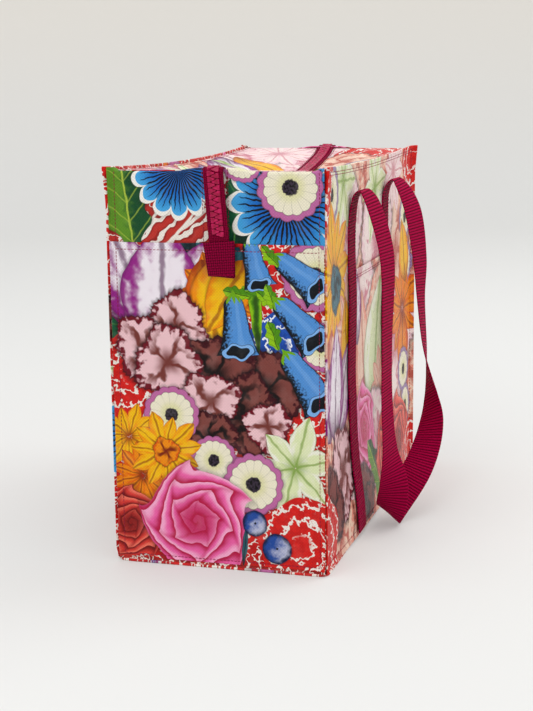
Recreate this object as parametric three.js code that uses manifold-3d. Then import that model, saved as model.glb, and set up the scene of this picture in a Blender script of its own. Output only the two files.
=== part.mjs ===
// A foldable tote bag: a boxy bag of printed woven sheet with a zip top, a patch pocket on each
// wall, and a webbing handle on each broad wall. Units are millimetres and +Z is up. The origin is
// the centre of the base, on the floor. The front wall faces -Y, and the ends face -X and +X.
// Every wall is a plain sheet with its true outline and place. The free part of each handle hangs
// outside its wall, as it does when the bag stands on a table.

import * as THREE from 'three';
import { mergeVertices } from 'three/addons/utils/BufferGeometryUtils.js';
import Module from 'manifold-3d';

const wasm = await Module();
wasm.setup();

// Bag body
const LENGTH = 420;
const DEPTH = 200;
const HEIGHT = 360;
const SHEET = 1.5;
const POCKET_SHEET = 1;
const CLEARANCE = 0.3;
const SEAM_REACH = 4;
const END_INSET = 3.5;
const END_DROP = 5;
const POCKET_FOOT = 4;
const FRONT_POCKET_TOP = 257;
const FRONT_POCKET_WIDTH = 160;
const END_POCKET_TOP = 294;

// Webbing
const WEBBING_WIDTH = 30;
const WEBBING_THICKNESS = 1.4;
const STRAP_SPREAD = 79;
const STRAP_FOOT = 2;
const STRAP_TOP = 330;

// Zip
const ZIP_END_HEIGHT = HEIGHT - 1.5;
const ZIP_SAG = 27.5;
const TAPE_REACH = 9.2;
const TAPE_THICKNESS = 0.8;
const STRIP_SHEET = 1;
const STRIP_MOUTH = 7.5;
const TOOTH_PITCH = 5;
const TOOTH_LENGTH = 2.6;
const TOOTH_TIP = 0.8;
const TOOTH_ROOT = 3.6;
const ROW_EDGE = 5.3;
const ROW_THICKNESS = 3.4;
const SLIDER_PLACE = -150;

// Zip tails, which hang outside the ends
const TAIL_LEAN = THREE.MathUtils.degToRad(4.3);
const TAIL_FACE = 211;
const TAPE_WIDTH = 18;
const TAB_WIDTH = 27;
const TAB_TOP = 295;
const TAB_FOOT = 266;

const broadFace = DEPTH / 2 - SEAM_REACH;
const broadInside = broadFace - SHEET;
const endFace = LENGTH / 2 - END_INSET;
const endInside = endFace - SHEET;

const printed = new THREE.MeshStandardMaterial({ color: 0xd98c8c, roughness: 0.35, metalness: 0 });
const webbing = new THREE.MeshStandardMaterial({ color: 0x961945, roughness: 0.85, metalness: 0 });
const tape = new THREE.MeshStandardMaterial({ color: 0x8f1a48, roughness: 0.9, metalness: 0 });
const moulded = new THREE.MeshStandardMaterial({ color: 0xa01c52, roughness: 0.4, metalness: 0 });
const enamel = new THREE.MeshStandardMaterial({ color: 0x8c1844, roughness: 0.3, metalness: 0.4 });

function piece(name, geometry, material, x = 0, y = 0, z = 0) {
  const mesh = new THREE.Mesh(geometry, material);
  mesh.name = name;
  mesh.position.set(x, y, z);
  return mesh;
}

// Moves every vertex of a closed shape by a rule, which keeps the shape closed.
function warp(geometry, rule) {
  const position = geometry.attributes.position;
  const point = new THREE.Vector3();
  for (let i = 0; i < position.count; i += 1) {
    rule(point.fromBufferAttribute(position, i));
    position.setXYZ(i, point.x, point.y, point.z);
  }
  geometry.computeVertexNormals();
  return geometry;
}

function outline(points) {
  return new THREE.Shape(points.map(([x, y]) => new THREE.Vector2(x, y)));
}

function toSolid(geometry) {
  const bare = geometry.clone();
  bare.deleteAttribute('normal');
  bare.deleteAttribute('uv');
  const merged = mergeVertices(bare, 1e-4);
  const vertProperties = new Float32Array(merged.attributes.position.array);
  const triVerts = new Uint32Array(merged.index.array);
  return new wasm.Manifold(new wasm.Mesh({ numProp: 3, vertProperties, triVerts }));
}

function fromSolid(solid) {
  const mesh = solid.getMesh();
  const geometry = new THREE.BufferGeometry();
  geometry.setAttribute('position', new THREE.BufferAttribute(mesh.vertProperties, 3));
  geometry.setIndex(new THREE.BufferAttribute(mesh.triVerts, 1));
  geometry.computeVertexNormals();
  return geometry;
}

// ---- The zip's line: an arc that sags between the two ends of the bag

const halfLength = LENGTH / 2;
const arcRadius = (halfLength ** 2 + ZIP_SAG ** 2) / (2 * ZIP_SAG);
const arcCentre = ZIP_END_HEIGHT - ZIP_SAG + arcRadius;

function zipHeight(x) {
  return arcCentre - Math.sqrt(arcRadius ** 2 - x ** 2);
}

// Lays a shape that runs along X at z = 0 onto the zip's arc.
function alongZip(geometry) {
  return warp(geometry, (p) => {
    const angle = p.x / arcRadius;
    const reach = arcRadius - p.z;
    p.set(reach * Math.sin(angle), p.y, arcCentre - reach * Math.cos(angle));
  });
}

const arcLength = 2 * arcRadius * Math.asin(halfLength / arcRadius);

// ---- Walls and pockets

// A broad wall in plan: a flat sheet whose two ends turn out into the corner seams.
function broadWall() {
  const tipX = halfLength;
  const tipY = -DEPTH / 2;
  const lip = { x: 0.9, y: 1.2 };
  const rootOuter = tipX - 6.2;
  const rootInner = tipX - 5.7;
  const plan = outline([
    [-(tipX - lip.x), tipY],
    [-rootOuter, -broadFace],
    [rootOuter, -broadFace],
    [tipX - lip.x, tipY],
    [tipX, tipY + lip.y],
    [rootInner, -broadInside],
    [-rootInner, -broadInside],
    [-tipX, tipY + lip.y],
  ]);
  return new THREE.ExtrudeGeometry(plan, { depth: HEIGHT, bevelEnabled: false });
}

function broadPocket() {
  const height = FRONT_POCKET_TOP - POCKET_FOOT;
  return new THREE.BoxGeometry(FRONT_POCKET_WIDTH, POCKET_SHEET, height);
}

function endWall(name, side) {
  const height = HEIGHT - END_DROP;
  const sheet = new THREE.BoxGeometry(SHEET, 2 * broadInside - 0.6, height);
  return piece(name, sheet, printed, side * (endFace - SHEET / 2), 0, height / 2);
}

function endPocket(name, side) {
  const height = END_POCKET_TOP - POCKET_FOOT;
  const sheet = new THREE.BoxGeometry(POCKET_SHEET, 2 * broadFace - 0.6, height);
  const x = side * (endFace + CLEARANCE + POCKET_SHEET / 2);
  return piece(name, sheet, printed, x, 0, POCKET_FOOT + height / 2);
}

function base() {
  const sheet = new THREE.BoxGeometry(2 * (endInside - 1.5), 2 * (broadInside - 0.5), SHEET);
  return piece('base_panel', sheet, printed, 0, 0, SHEET / 2);
}

// ---- Handles

// The webbing's width direction: turn swings it from +X towards the outside, dip tips it down.
function widthDirection(turn, dip) {
  const t = THREE.MathUtils.degToRad(turn);
  const d = THREE.MathUtils.degToRad(dip);
  return new THREE.Vector3(Math.cos(t) * Math.cos(d), -Math.sin(t) * Math.cos(d), -Math.sin(d));
}

// The free loop of a handle, from the left strap to the right one: x, y, z, turn, dip.
const LOOP = [
  [-79, -100.4, 331, 0, 0],
  [-79, -105.3, 336, 5, 0],
  [-79, -110.5, 329, 14, 0],
  [-79, -119, 300, 15, 0],
  [-79, -126, 268, 14, 0],
  [-79, -126, 190, 7, 0],
  [-78, -126, 135, 8, 0],
  [-74, -128.5, 80, 18, 0],
  [-66, -130.5, 46, 58, 0],
  [-56, -126, 21, 88, 20],
  [-45, -122, 12.5, 90, 41],
  [-30, -125.5, 18, 93, 42],
  [2, -143, 49, 102, 20],
  [34, -149.5, 83, 121, 3],
  [53, -146, 111, 146, 0],
  [68, -137, 158, 175, 0],
  [76, -131, 210, 185, 0],
  [79, -129, 250, 197, 0],
  [79, -120.5, 302, 203, 0],
  [79, -110.5, 329, 195, 0],
  [79, -105.3, 336, 185, 0],
  [79, -100.4, 331, 180, 0],
];

function freeLoop() {
  const places = LOOP.map(([x, y, z]) => new THREE.Vector3(x, y, z));
  const widths = LOOP.map(([, , , turn, dip]) => widthDirection(turn, dip));
  const path = new THREE.CatmullRomCurve3(places);
  const across = new THREE.CatmullRomCurve3(widths);
  const steps = 4 * (LOOP.length - 1);
  const strap = new THREE.BoxGeometry(1, WEBBING_WIDTH, WEBBING_THICKNESS, steps, 4, 1);
  return warp(strap, (p) => {
    const t = THREE.MathUtils.clamp(p.x + 0.5, 0, 1);
    const width = across.getPoint(t).normalize();
    const normal = path.getTangent(t).cross(width).normalize();
    const { y, z } = p;
    p.copy(path.getPoint(t)).addScaledVector(width, y).addScaledVector(normal, z);
  });
}

function sewnStrap(name, side) {
  const height = STRAP_TOP - STRAP_FOOT;
  const strap = new THREE.BoxGeometry(WEBBING_WIDTH, WEBBING_THICKNESS, height);
  const y = -(broadFace + CLEARANCE + POCKET_SHEET + CLEARANCE + WEBBING_THICKNESS / 2);
  return piece(name, strap, webbing, side * STRAP_SPREAD, y, STRAP_FOOT + height / 2);
}

// One broad side of the bag, facing -Y, with its pocket, sewn straps and hanging handle.
function broadSide(name) {
  const side = new THREE.Group();
  const pocketY = -(broadFace + CLEARANCE + POCKET_SHEET / 2);
  const pocketZ = (FRONT_POCKET_TOP + POCKET_FOOT) / 2;
  side.add(piece(`${name}_panel`, broadWall(), printed));
  side.add(piece(`${name}_pocket`, broadPocket(), printed, 0, pocketY, pocketZ));
  side.add(sewnStrap(`${name}_strap_left`, -1));
  side.add(sewnStrap(`${name}_strap_right`, 1));
  side.add(piece(`${name}_handle`, freeLoop(), webbing));
  return side;
}

// ---- Zip top

// A printed strip from the wall's rim down to the underside of the zip tape. It slopes straight
// down to just outside the tape's edge, then runs level to its mouth.
function topStrip(name, side) {
  const rim = HEIGHT - 2;
  const outer = broadInside - CLEARANCE;
  const knee = TAPE_REACH + 1;
  const columns = 8;
  const width = 2 * (endInside - CLEARANCE);
  const sheet = new THREE.BoxGeometry(width, columns, STRIP_SHEET, 24, columns, 1);
  return piece(name, warp(sheet, (p) => {
    const level = zipHeight(p.x) - TAPE_THICKNESS / 2 - CLEARANCE - STRIP_SHEET / 2;
    const column = p.y + columns / 2;
    const rise = Math.max(0, column - 1) / (columns - 1);
    const start = column < 1 ? STRIP_MOUTH : knee;
    const y = THREE.MathUtils.lerp(start, outer, rise);
    p.set(side * p.x, side * y, THREE.MathUtils.lerp(level, rim, rise) + p.z);
  }), printed);
}

function zipTape(name, side) {
  const inner = ROW_EDGE + CLEARANCE;
  const width = TAPE_REACH - inner;
  const sheet = new THREE.BoxGeometry(arcLength - 1, width, TAPE_THICKNESS, 24, 1, 1);
  sheet.translate(0, side * (inner + width / 2), 0);
  return piece(name, alongZip(sheet), tape);
}

// Moulded teeth on their cord, along the zip's arc, with the teeth towards the other row.
function toothRow(length, side, phase) {
  const cordWidth = ROW_EDGE - TOOTH_ROOT;
  const cord = new THREE.BoxGeometry(length, cordWidth, ROW_THICKNESS, 28, 1, 1);
  cord.translate(0, side * (TOOTH_ROOT + cordWidth / 2), 0);
  const solids = [toSolid(alongZip(cord))];
  const reach = TOOTH_ROOT + cordWidth / 2 - TOOTH_TIP;
  for (let x = phase - length / 2; x + TOOTH_LENGTH < length / 2; x += TOOTH_PITCH) {
    const tooth = new THREE.BoxGeometry(TOOTH_LENGTH, reach, ROW_THICKNESS - 0.4);
    tooth.translate(x + TOOTH_LENGTH / 2, side * (TOOTH_TIP + reach / 2), 0);
    solids.push(toSolid(alongZip(tooth)));
  }
  return fromSolid(wasm.Manifold.union(solids));
}

function zipTop() {
  const top = new THREE.Group();
  const rowLength = arcLength - 10;
  top.add(topStrip('top_strip_front', -1), topStrip('top_strip_back', 1));
  top.add(zipTape('zip_tape_front', -1), zipTape('zip_tape_back', 1));
  top.add(piece('zip_teeth_front', toothRow(rowLength, -1, 1), moulded));
  top.add(piece('zip_teeth_back', toothRow(rowLength, 1, 1 + TOOTH_PITCH / 2), moulded));
  return top;
}

// ---- Slider and its pull, built flat around their place on the teeth

const SLIDER = { length: 18, width: 14, plate: 1.6, lower: -3.9, upper: 3.6, web: 1 };
const BAIL = { half: 5.5, opening: 4, height: 4.6, window: 3.1, width: 2.4 };
const PULL = { length: 32, width: 9, thickness: 1.5, bar: 1, windowEnd: 9, windowWidth: 4 };

function sliderBody() {
  const { width, plate, lower, upper, web, length } = SLIDER;
  const section = outline([
    [-width / 2, upper],
    [-width / 2, upper - plate],
    [-web / 2, upper - plate],
    [-web / 2, lower + plate],
    [-width / 2, lower + plate],
    [-width / 2, lower],
    [width / 2, lower],
    [width / 2, lower + plate],
    [web / 2, lower + plate],
    [web / 2, upper - plate],
    [width / 2, upper - plate],
    [width / 2, upper],
  ]);
  const plates = new THREE.ExtrudeGeometry(section, { depth: length, bevelEnabled: false });
  plates.translate(0, 0, -length / 2);
  plates.applyMatrix4(new THREE.Matrix4().set(0, 0, 1, 0, 1, 0, 0, 0, 0, 1, 0, 0, 0, 0, 0, 1));
  const sink = -0.4;
  const arch = outline([
    [-BAIL.half, sink],
    [-BAIL.opening, sink],
    [-BAIL.opening, BAIL.window],
    [BAIL.opening, BAIL.window],
    [BAIL.opening, sink],
    [BAIL.half, sink],
    [BAIL.half, BAIL.height - 1],
    [BAIL.half - 1.5, BAIL.height],
    [-BAIL.half + 1.5, BAIL.height],
    [-BAIL.half, BAIL.height - 1],
  ]);
  const bail = new THREE.ExtrudeGeometry(arch, { depth: BAIL.width, bevelEnabled: false });
  bail.translate(0, 0, -BAIL.width / 2);
  bail.rotateX(Math.PI / 2);
  bail.translate(0, 0, upper);
  return fromSolid(toSolid(plates).add(toSolid(bail)));
}

function pullTab() {
  const half = PULL.width / 2;
  const tab = outline([
    [-PULL.bar, -half],
    [PULL.length - 3, -half],
    [PULL.length, -half + 3],
    [PULL.length, half - 3],
    [PULL.length - 3, half],
    [-PULL.bar, half],
  ]);
  const slot = PULL.windowWidth / 2;
  tab.holes.push(new THREE.Path([
    new THREE.Vector2(PULL.bar, -slot),
    new THREE.Vector2(PULL.windowEnd, -slot),
    new THREE.Vector2(PULL.windowEnd, slot),
    new THREE.Vector2(PULL.bar, slot),
  ]));
  const plate = new THREE.ExtrudeGeometry(tab, { depth: PULL.thickness, bevelEnabled: false });
  return plate.translate(0, 0, -PULL.thickness / 2);
}

function slider() {
  const carriage = new THREE.Group();
  const angle = Math.asin(SLIDER_PLACE / arcRadius);
  carriage.position.set(0, 0, arcCentre);
  carriage.rotation.y = -angle;
  carriage.add(piece('zip_slider', sliderBody(), enamel, 0, 0, -arcRadius));
  const pullHeight = SLIDER.upper + BAIL.window / 2 + 0.15;
  carriage.add(piece('slider_pull', pullTab(), enamel, 0, 0, pullHeight - arcRadius));
  return carriage;
}

// ---- Zip tails

// Both rows of teeth, closed, as one chain that hangs along -Z and faces -X.
function closedChain(length) {
  const edge = ROW_EDGE;
  const waist = edge - 1;
  const right = [];
  const left = [];
  for (let z = 1; z + TOOTH_LENGTH < length; z += TOOTH_PITCH) {
    right.push([waist, -z], [edge, -z - 0.4]);
    right.push([edge, -z - TOOTH_LENGTH + 0.4], [waist, -z - TOOTH_LENGTH]);
    left.push([-waist, -z], [-edge, -z - 0.4]);
    left.push([-edge, -z - TOOTH_LENGTH + 0.4], [-waist, -z - TOOTH_LENGTH]);
  }
  const chain = outline([
    [-waist, 0],
    [waist, 0],
    ...right,
    [waist, -length],
    [-waist, -length],
    ...left.reverse(),
  ]);
  const solid = new THREE.ExtrudeGeometry(chain, { depth: 2.7, bevelEnabled: false });
  return solid.applyMatrix4(new THREE.Matrix4().set(0, 0, -1, 0, -1, 0, 0, 0, 0, 1, 0, 0, 0, 0, 0, 1));
}

// Webbing folded in two round the end of the tape, with the fold at the bottom.
function foldedTab() {
  const height = TAB_TOP - TAB_FOOT;
  const layer = WEBBING_THICKNESS;
  const depth = 2 * layer + TAPE_THICKNESS + 2 * CLEARANCE;
  const section = outline([
    [0, 0],
    [0, -height + 1],
    [-1, -height],
    [-depth + 1, -height],
    [-depth, -height + 1],
    [-depth, 0],
    [-depth + layer, 0],
    [-depth + layer, -height + 8],
    [-layer, -height + 8],
    [-layer, 0],
  ]);
  const tab = new THREE.ExtrudeGeometry(section, { depth: TAB_WIDTH, bevelEnabled: false });
  tab.translate(0, 0, -TAB_WIDTH / 2);
  return tab.rotateX(Math.PI / 2);
}

// A tail faces -X. The other end's tail is the same one turned half a turn about +Z.
function tail(name) {
  const whole = new THREE.Group();
  const hanging = new THREE.Group();
  const pivotZ = ZIP_END_HEIGHT;
  const tapeTop = 1.2;
  const tapeFoot = TAB_TOP - 10 - pivotZ;
  const tapeX = -(WEBBING_THICKNESS + CLEARANCE + TAPE_THICKNESS / 2);
  const strip = new THREE.BoxGeometry(TAPE_THICKNESS, TAPE_WIDTH, tapeTop - tapeFoot);
  hanging.position.set(-TAIL_FACE, 0, pivotZ);
  hanging.rotation.x = -TAIL_LEAN;
  hanging.add(piece(`${name}_tape`, strip, tape, tapeX, 0, (tapeTop + tapeFoot) / 2));
  const chainX = tapeX - TAPE_THICKNESS / 2 - CLEARANCE;
  const chainLength = pivotZ + 1 - TAB_TOP - 5;
  hanging.add(piece(`${name}_teeth`, closedChain(chainLength), moulded, chainX, 0, 1));
  hanging.add(piece(`${name}_tab`, foldedTab(), webbing, 0, 0, TAB_TOP - pivotZ));
  whole.add(hanging);
  return whole;
}

// ---- The whole bag

const bag = new THREE.Group();
const backSide = broadSide('back');
backSide.rotation.z = Math.PI;
const rightTail = tail('right_tail');
rightTail.rotation.z = Math.PI;

bag.add(broadSide('front'), backSide, base());
bag.add(endWall('left_end_panel', -1), endWall('right_end_panel', 1));
bag.add(endPocket('left_end_pocket', -1), endPocket('right_end_pocket', 1));
bag.add(zipTop(), slider(), tail('left_tail'), rightTail);

export default bag;
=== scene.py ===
"""A foldable tote bag of printed, laminated woven sheet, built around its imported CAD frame.

Everything is in metres in the frame's axes: X along the bag, the front facing -Y, and +Z up. A broad side
is built on the front and an end on the left, and each is turned half a turn about +Z for its opposite.
Sheets, webbing, thread and zip teeth are all closed meshes. The print is drawn by shader nodes in the
sheets' own coordinates, so it stays on the cloth when the bag folds.
"""

import math
from functools import partialmethod

import bmesh
import bpy
import numpy as np
from mathutils import Matrix, Vector


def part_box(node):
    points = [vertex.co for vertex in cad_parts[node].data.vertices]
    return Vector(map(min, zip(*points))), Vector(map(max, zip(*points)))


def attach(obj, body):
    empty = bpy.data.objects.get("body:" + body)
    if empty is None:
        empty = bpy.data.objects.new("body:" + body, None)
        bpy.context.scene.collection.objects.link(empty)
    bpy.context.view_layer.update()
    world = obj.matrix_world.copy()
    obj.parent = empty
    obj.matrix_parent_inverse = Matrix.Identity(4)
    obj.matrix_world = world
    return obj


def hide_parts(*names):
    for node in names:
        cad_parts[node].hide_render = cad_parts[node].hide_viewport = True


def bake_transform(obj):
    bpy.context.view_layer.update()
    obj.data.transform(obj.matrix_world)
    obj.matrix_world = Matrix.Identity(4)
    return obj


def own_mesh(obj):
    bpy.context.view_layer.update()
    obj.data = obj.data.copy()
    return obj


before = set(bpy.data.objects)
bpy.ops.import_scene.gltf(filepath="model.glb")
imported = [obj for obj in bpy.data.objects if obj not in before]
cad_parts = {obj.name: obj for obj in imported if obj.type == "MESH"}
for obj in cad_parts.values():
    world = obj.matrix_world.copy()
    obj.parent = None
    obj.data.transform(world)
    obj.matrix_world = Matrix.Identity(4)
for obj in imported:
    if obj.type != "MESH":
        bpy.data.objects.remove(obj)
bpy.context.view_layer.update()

MM = 0.001

# ---- Sizes, from the frame

wall_low, wall_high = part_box("front_panel")
HALF_LENGTH = wall_high.x
HALF_DEPTH = -wall_low.y
HEIGHT = wall_high.z
BROAD_FACE = HALF_DEPTH - 4 * MM
END_FACE = -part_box("left_end_panel")[0].x
FRONT_POCKET_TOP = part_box("front_pocket")[1].z
FRONT_POCKET_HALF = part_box("front_pocket")[1].x
END_POCKET_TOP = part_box("left_end_pocket")[1].z

strap_low, strap_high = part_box("front_strap_right")
STRAP_X = (strap_low.x + strap_high.x) / 2
STRAP_HALF = (strap_high.x - strap_low.x) / 2
STRAP_TOP = strap_high.z
WEBBING = strap_high.y - strap_low.y

tape_low, tape_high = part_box("zip_tape_front")
TAPE = 0.8 * MM
TAPE_REACH = -tape_low.y
ZIP_END = tape_high.z - TAPE / 2
ZIP_SAG = tape_high.z - tape_low.z - TAPE
ARC_RADIUS = (HALF_LENGTH**2 + ZIP_SAG**2) / (2 * ZIP_SAG)
ARC_CENTRE = ZIP_END - ZIP_SAG + ARC_RADIUS
TAIL_FACE = -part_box("left_tail_tape")[0].x - TAPE / 2
TAB_LOW, TAB_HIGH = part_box("left_tail_tab")

# ---- Sizes of the soft goods

SHEET = 0.8 * MM
FIN_REACH = 7 * MM
BROAD_FIN = 4 * MM
END_FIN = 3.3 * MM
END_HALF = HALF_DEPTH - 2.6 * MM
RIM_ROLL = 3 * MM
HEM = 9 * MM
BASE_CORNER = 14 * MM

BROAD_DENT = 6 * MM
BROAD_RIM_DENT = 4 * MM
BROAD_BELLY = 6 * MM
BELLY_HEIGHT = 20 * MM
BELLY_REACH = 45 * MM
RIM_DIP = 5 * MM
END_DENT = 2.2 * MM
END_RIM_SAG = 2.6 * MM
ZIP_CLEAR = 14 * MM

TOOTH_PITCH = 5 * MM
TEETH_THICK = 3.4 * MM
TAIL_LEAN = math.tan(math.radians(4.3))


# ---- Small numeric helpers


def smooth(t):
    """Nought to one with level ends."""
    t = np.clip(t, 0, 1)
    return t * t * (3 - 2 * t)


def waves(a, b, seed, longest=0.12, count=7):
    """Soft creases over a sheet, about -1 to 1: a few crossing sine waves with fixed seeds."""
    draw = np.random.default_rng(seed)
    total, weight = 0, 0
    for _ in range(count):
        length = longest * draw.uniform(0.3, 1)
        turn = draw.uniform(0, math.tau)
        phase = draw.uniform(0, math.tau)
        share = length / longest
        total = total + share * np.sin(math.tau * (a * math.cos(turn) + b * math.sin(turn)) / length + phase)
        weight += share
    return 1.8 * total / weight


def spread(length, step, near):
    """Places from 0 to length, close together at both ends as the list near says, in millimetres."""
    fine = np.array(near) * MM
    count = max(2, round((length - 2 * fine[-1]) / step))
    middle = np.linspace(fine[-1], length - fine[-1], count + 1)[1:-1]
    return np.concatenate([fine, middle, (length - fine)[::-1]])


def unit(v):
    return v / np.linalg.norm(v, axis=-1, keepdims=True)


def distances(rows):
    """How far along a polyline each of its points is. The first three numbers of a row are the place."""
    return np.concatenate([[0], np.cumsum(np.linalg.norm(np.diff(rows[:, :3], axis=0), axis=1))])


def sampled(rows, along, places):
    """Rows of numbers at new places along their polyline."""
    return np.stack([np.interp(places, along, column) for column in rows.T], axis=1)


def catmull(stations, per_span):
    """A centripetal Catmull-Rom curve through rows of numbers. The first three are the place."""
    rows = np.array(stations, float)
    rows = np.vstack([2 * rows[0] - rows[1], rows, 2 * rows[-1] - rows[-2]])
    gaps = np.maximum(np.linalg.norm(np.diff(rows[:, :3], axis=0), axis=1), 1e-6) ** 0.5
    knots = np.concatenate([[0], np.cumsum(gaps)])
    out = []
    for i in range(1, len(rows) - 2):
        t = np.linspace(knots[i], knots[i + 1], per_span, endpoint=False)[:, None]
        k0, k1, k2, k3 = knots[i - 1 : i + 3]
        p0, p1, p2, p3 = rows[i - 1 : i + 3]
        a1 = (k1 - t) / (k1 - k0) * p0 + (t - k0) / (k1 - k0) * p1
        a2 = (k2 - t) / (k2 - k1) * p1 + (t - k1) / (k2 - k1) * p2
        a3 = (k3 - t) / (k3 - k2) * p2 + (t - k2) / (k3 - k2) * p3
        b1 = (k2 - t) / (k2 - k0) * a1 + (t - k0) / (k2 - k0) * a2
        b2 = (k3 - t) / (k3 - k1) * a2 + (t - k1) / (k3 - k1) * a3
        out.append((k2 - t) / (k2 - k1) * b1 + (t - k1) / (k2 - k1) * b2)
    return np.vstack([*out, rows[-2][None]])


# ---- Mesh builders


def new_object(name, points, faces, uv=None, sharp=40, turned=False):
    """A smooth mesh with edges kept sharp above an angle in degrees. Turned is half a turn about +Z."""
    mesh = bpy.data.meshes.new(name)
    points = np.array(points)
    if turned:
        points[:, :2] *= -1
    mesh.from_pydata(points.tolist(), [], faces)
    if uv is not None:
        corner = np.empty(len(mesh.loops), np.int32)
        mesh.loops.foreach_get("vertex_index", corner)
        layer = mesh.uv_layers.new(name="Sheet")
        layer.data.foreach_set("uv", np.asarray(uv, np.float32)[corner].ravel())
    mesh.shade_smooth()
    mesh.set_sharp_from_angle(angle=math.radians(sharp))
    made = bpy.data.objects.new(name, mesh)
    bpy.context.scene.collection.objects.link(made)
    return made


def grid_normals(grid):
    return unit(np.cross(np.gradient(grid, axis=0), np.gradient(grid, axis=1)))


def shell(name, grid, uv, thickness, turned=False):
    """A closed sheet whose outer face is the grid. Its thickness goes inwards and its edges are rounded."""
    rows, columns = grid.shape[:2]
    normal = grid_normals(grid)
    depth = np.broadcast_to(thickness, (rows, columns))[..., None]
    inner = grid - normal * depth
    count = rows * columns
    index = np.arange(count).reshape(rows, columns)
    border = np.concatenate([index[:-1, 0], index[-1, :-1], index[:0:-1, -1], index[0, :0:-1]])
    outer_edge = grid.reshape(-1, 3)[border]
    inner_edge = inner.reshape(-1, 3)[border]
    travel = unit(np.roll(outer_edge, -1, axis=0) - np.roll(outer_edge, 1, axis=0))
    outwards = np.cross(travel, normal.reshape(-1, 3)[border])
    bulge = 0.35 * depth.reshape(-1, 1)[border]
    middle = (outer_edge + inner_edge) / 2 + outwards * bulge
    points = np.vstack([grid.reshape(-1, 3), inner.reshape(-1, 3), middle])
    sheet_uv = np.asarray(uv).reshape(-1, 2)
    coordinates = np.vstack([sheet_uv, sheet_uv, sheet_uv[border]])
    quads = np.stack([index[:-1, :-1], index[1:, :-1], index[1:, 1:], index[:-1, 1:]], axis=-1)
    quads = quads.reshape(-1, 4)
    mid = 2 * count + np.arange(len(border))
    after, mid_after = np.roll(border, -1), np.roll(mid, -1)
    sides = [
        np.stack([after, border, mid, mid_after], axis=1),
        np.stack([mid_after, mid, border + count, after + count], axis=1),
    ]
    faces = np.vstack([quads, quads[:, ::-1] + count, *sides])
    return new_object(name, points, faces.tolist(), coordinates, turned=turned)


def ribbon(name, centre, across, half_width, thickness, rib=None, turned=False):
    """Webbing along a path: flat, with rounded selvedges, and raised cross ribs where rib is a pitch."""
    along = distances(centre)
    forward = unit(np.gradient(centre, axis=0))
    across = unit(across - forward * np.sum(forward * across, axis=1, keepdims=True))
    normal = np.cross(forward, across)
    half = np.broadcast_to(half_width, len(centre))
    lines = np.array([-1, -0.985, -0.95, -0.86, -0.6, -0.3, 0, 0.3, 0.6, 0.86, 0.95, 0.985, 1])
    body = np.clip(1 - np.abs(lines) ** 40, 0, 1) ** 0.5
    lift = np.ones(len(centre)) if rib is None else 0.78 + 0.22 * np.abs(np.cos(np.pi * along / rib)) ** 0.7
    height = lift[:, None] * body[None] * thickness / 2
    place = centre[:, None] + across[:, None] * (half[:, None] * lines[None])[..., None]
    top = place + normal[:, None] * height[..., None]
    bottom = place[:, 1:-1] - normal[:, None] * height[:, 1:-1, None]
    loop = np.concatenate([top, bottom[:, ::-1]], axis=1)
    rows, width = loop.shape[:2]
    index = np.arange(rows * width).reshape(rows, width)
    nxt = np.roll(index, -1, axis=1)
    quads = np.stack([index[:-1], index[1:], nxt[1:], nxt[:-1]], axis=-1).reshape(-1, 4)
    ends = [index[0].tolist(), index[-1][::-1].tolist()]
    flat = np.concatenate([lines, lines[1:-1][::-1]])
    uv = np.stack([np.tile(flat * STRAP_HALF, (rows, 1)), np.tile(along[:, None], (1, width))], axis=-1)
    return new_object(name, loop.reshape(-1, 3), quads.tolist() + ends, uv.reshape(-1, 2), 60, turned)


STITCH_PITCH = 3.4 * MM
STITCH_LENGTH = 2.7 * MM
THREAD_RADIUS = 0.3 * MM


def thread_shape():
    """One stitch, 1 long and with a radius of 1: rings of (along, radius, rise)."""
    rings = [(-0.5, 0.3, -0.9), (-0.38, 0.85, -0.1), (0, 1, 0.25), (0.38, 0.85, -0.1), (0.5, 0.3, -0.9)]
    sides = 6
    points = []
    for place, radius, rise in rings:
        for k in range(sides):
            turn = math.tau * k / sides
            points.append((place, radius * math.cos(turn), radius * math.sin(turn) + rise))
    faces = []
    for i in range(len(rings) - 1):
        for k in range(sides):
            a, b = i * sides + k, i * sides + (k + 1) % sides
            faces.append([a, a + sides, b + sides, b])
    faces.append(list(range(sides)))
    faces.append([len(points) - sides + k for k in reversed(range(sides))])
    return np.array(points), faces


def repeated(name, shape, shape_faces, frames, sharp, turned=False):
    """One mesh of many copies of a shape. A frame is a place and the directions of the shape's axes."""
    points, faces = [], []
    for place, x, y, z in frames:
        start = len(points) * len(shape)
        points.append(place + shape[:, :1] * x + shape[:, 1:2] * y + shape[:, 2:] * z)
        faces.extend([[i + start for i in face] for face in shape_faces])
    return new_object(name, np.vstack(points), faces, sharp=sharp, turned=turned)


def stitching(name, rows, turned=False):
    """Threads along every row. A row is a polyline and the outward normal at its points."""
    shape, faces = thread_shape()
    frames = []
    for path, outward in rows:
        along = distances(path)
        middles = np.arange(STITCH_PITCH / 2, along[-1], STITCH_PITCH)
        forward = unit(sampled(unit(np.gradient(path, axis=0)), along, middles))
        up = sampled(outward, along, middles)
        up = unit(up - forward * np.sum(up * forward, axis=1, keepdims=True))
        frames += zip(sampled(path, along, middles), forward, np.cross(up, forward), up)
    return repeated(name, shape * (STITCH_LENGTH, THREAD_RADIUS, THREAD_RADIUS), faces, frames, 80, turned)


# ---- Sheets: each takes a place across and up the sheet, and gives its outer face

FOOT = 2.3 * MM
ROLL_TURN = 2.1
ROLL_LENGTH = ROLL_TURN * RIM_ROLL
ROLL_START = HEIGHT - 0.5 * MM - RIM_ROLL
HEM_LINES = (4.2 * MM, 6.8 * MM)
POCKET_LINES = (6.2 * MM, 8.6 * MM)
SIDE_LINE = 4.8 * MM
FOOT_LINE = 5.2 * MM


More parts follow.
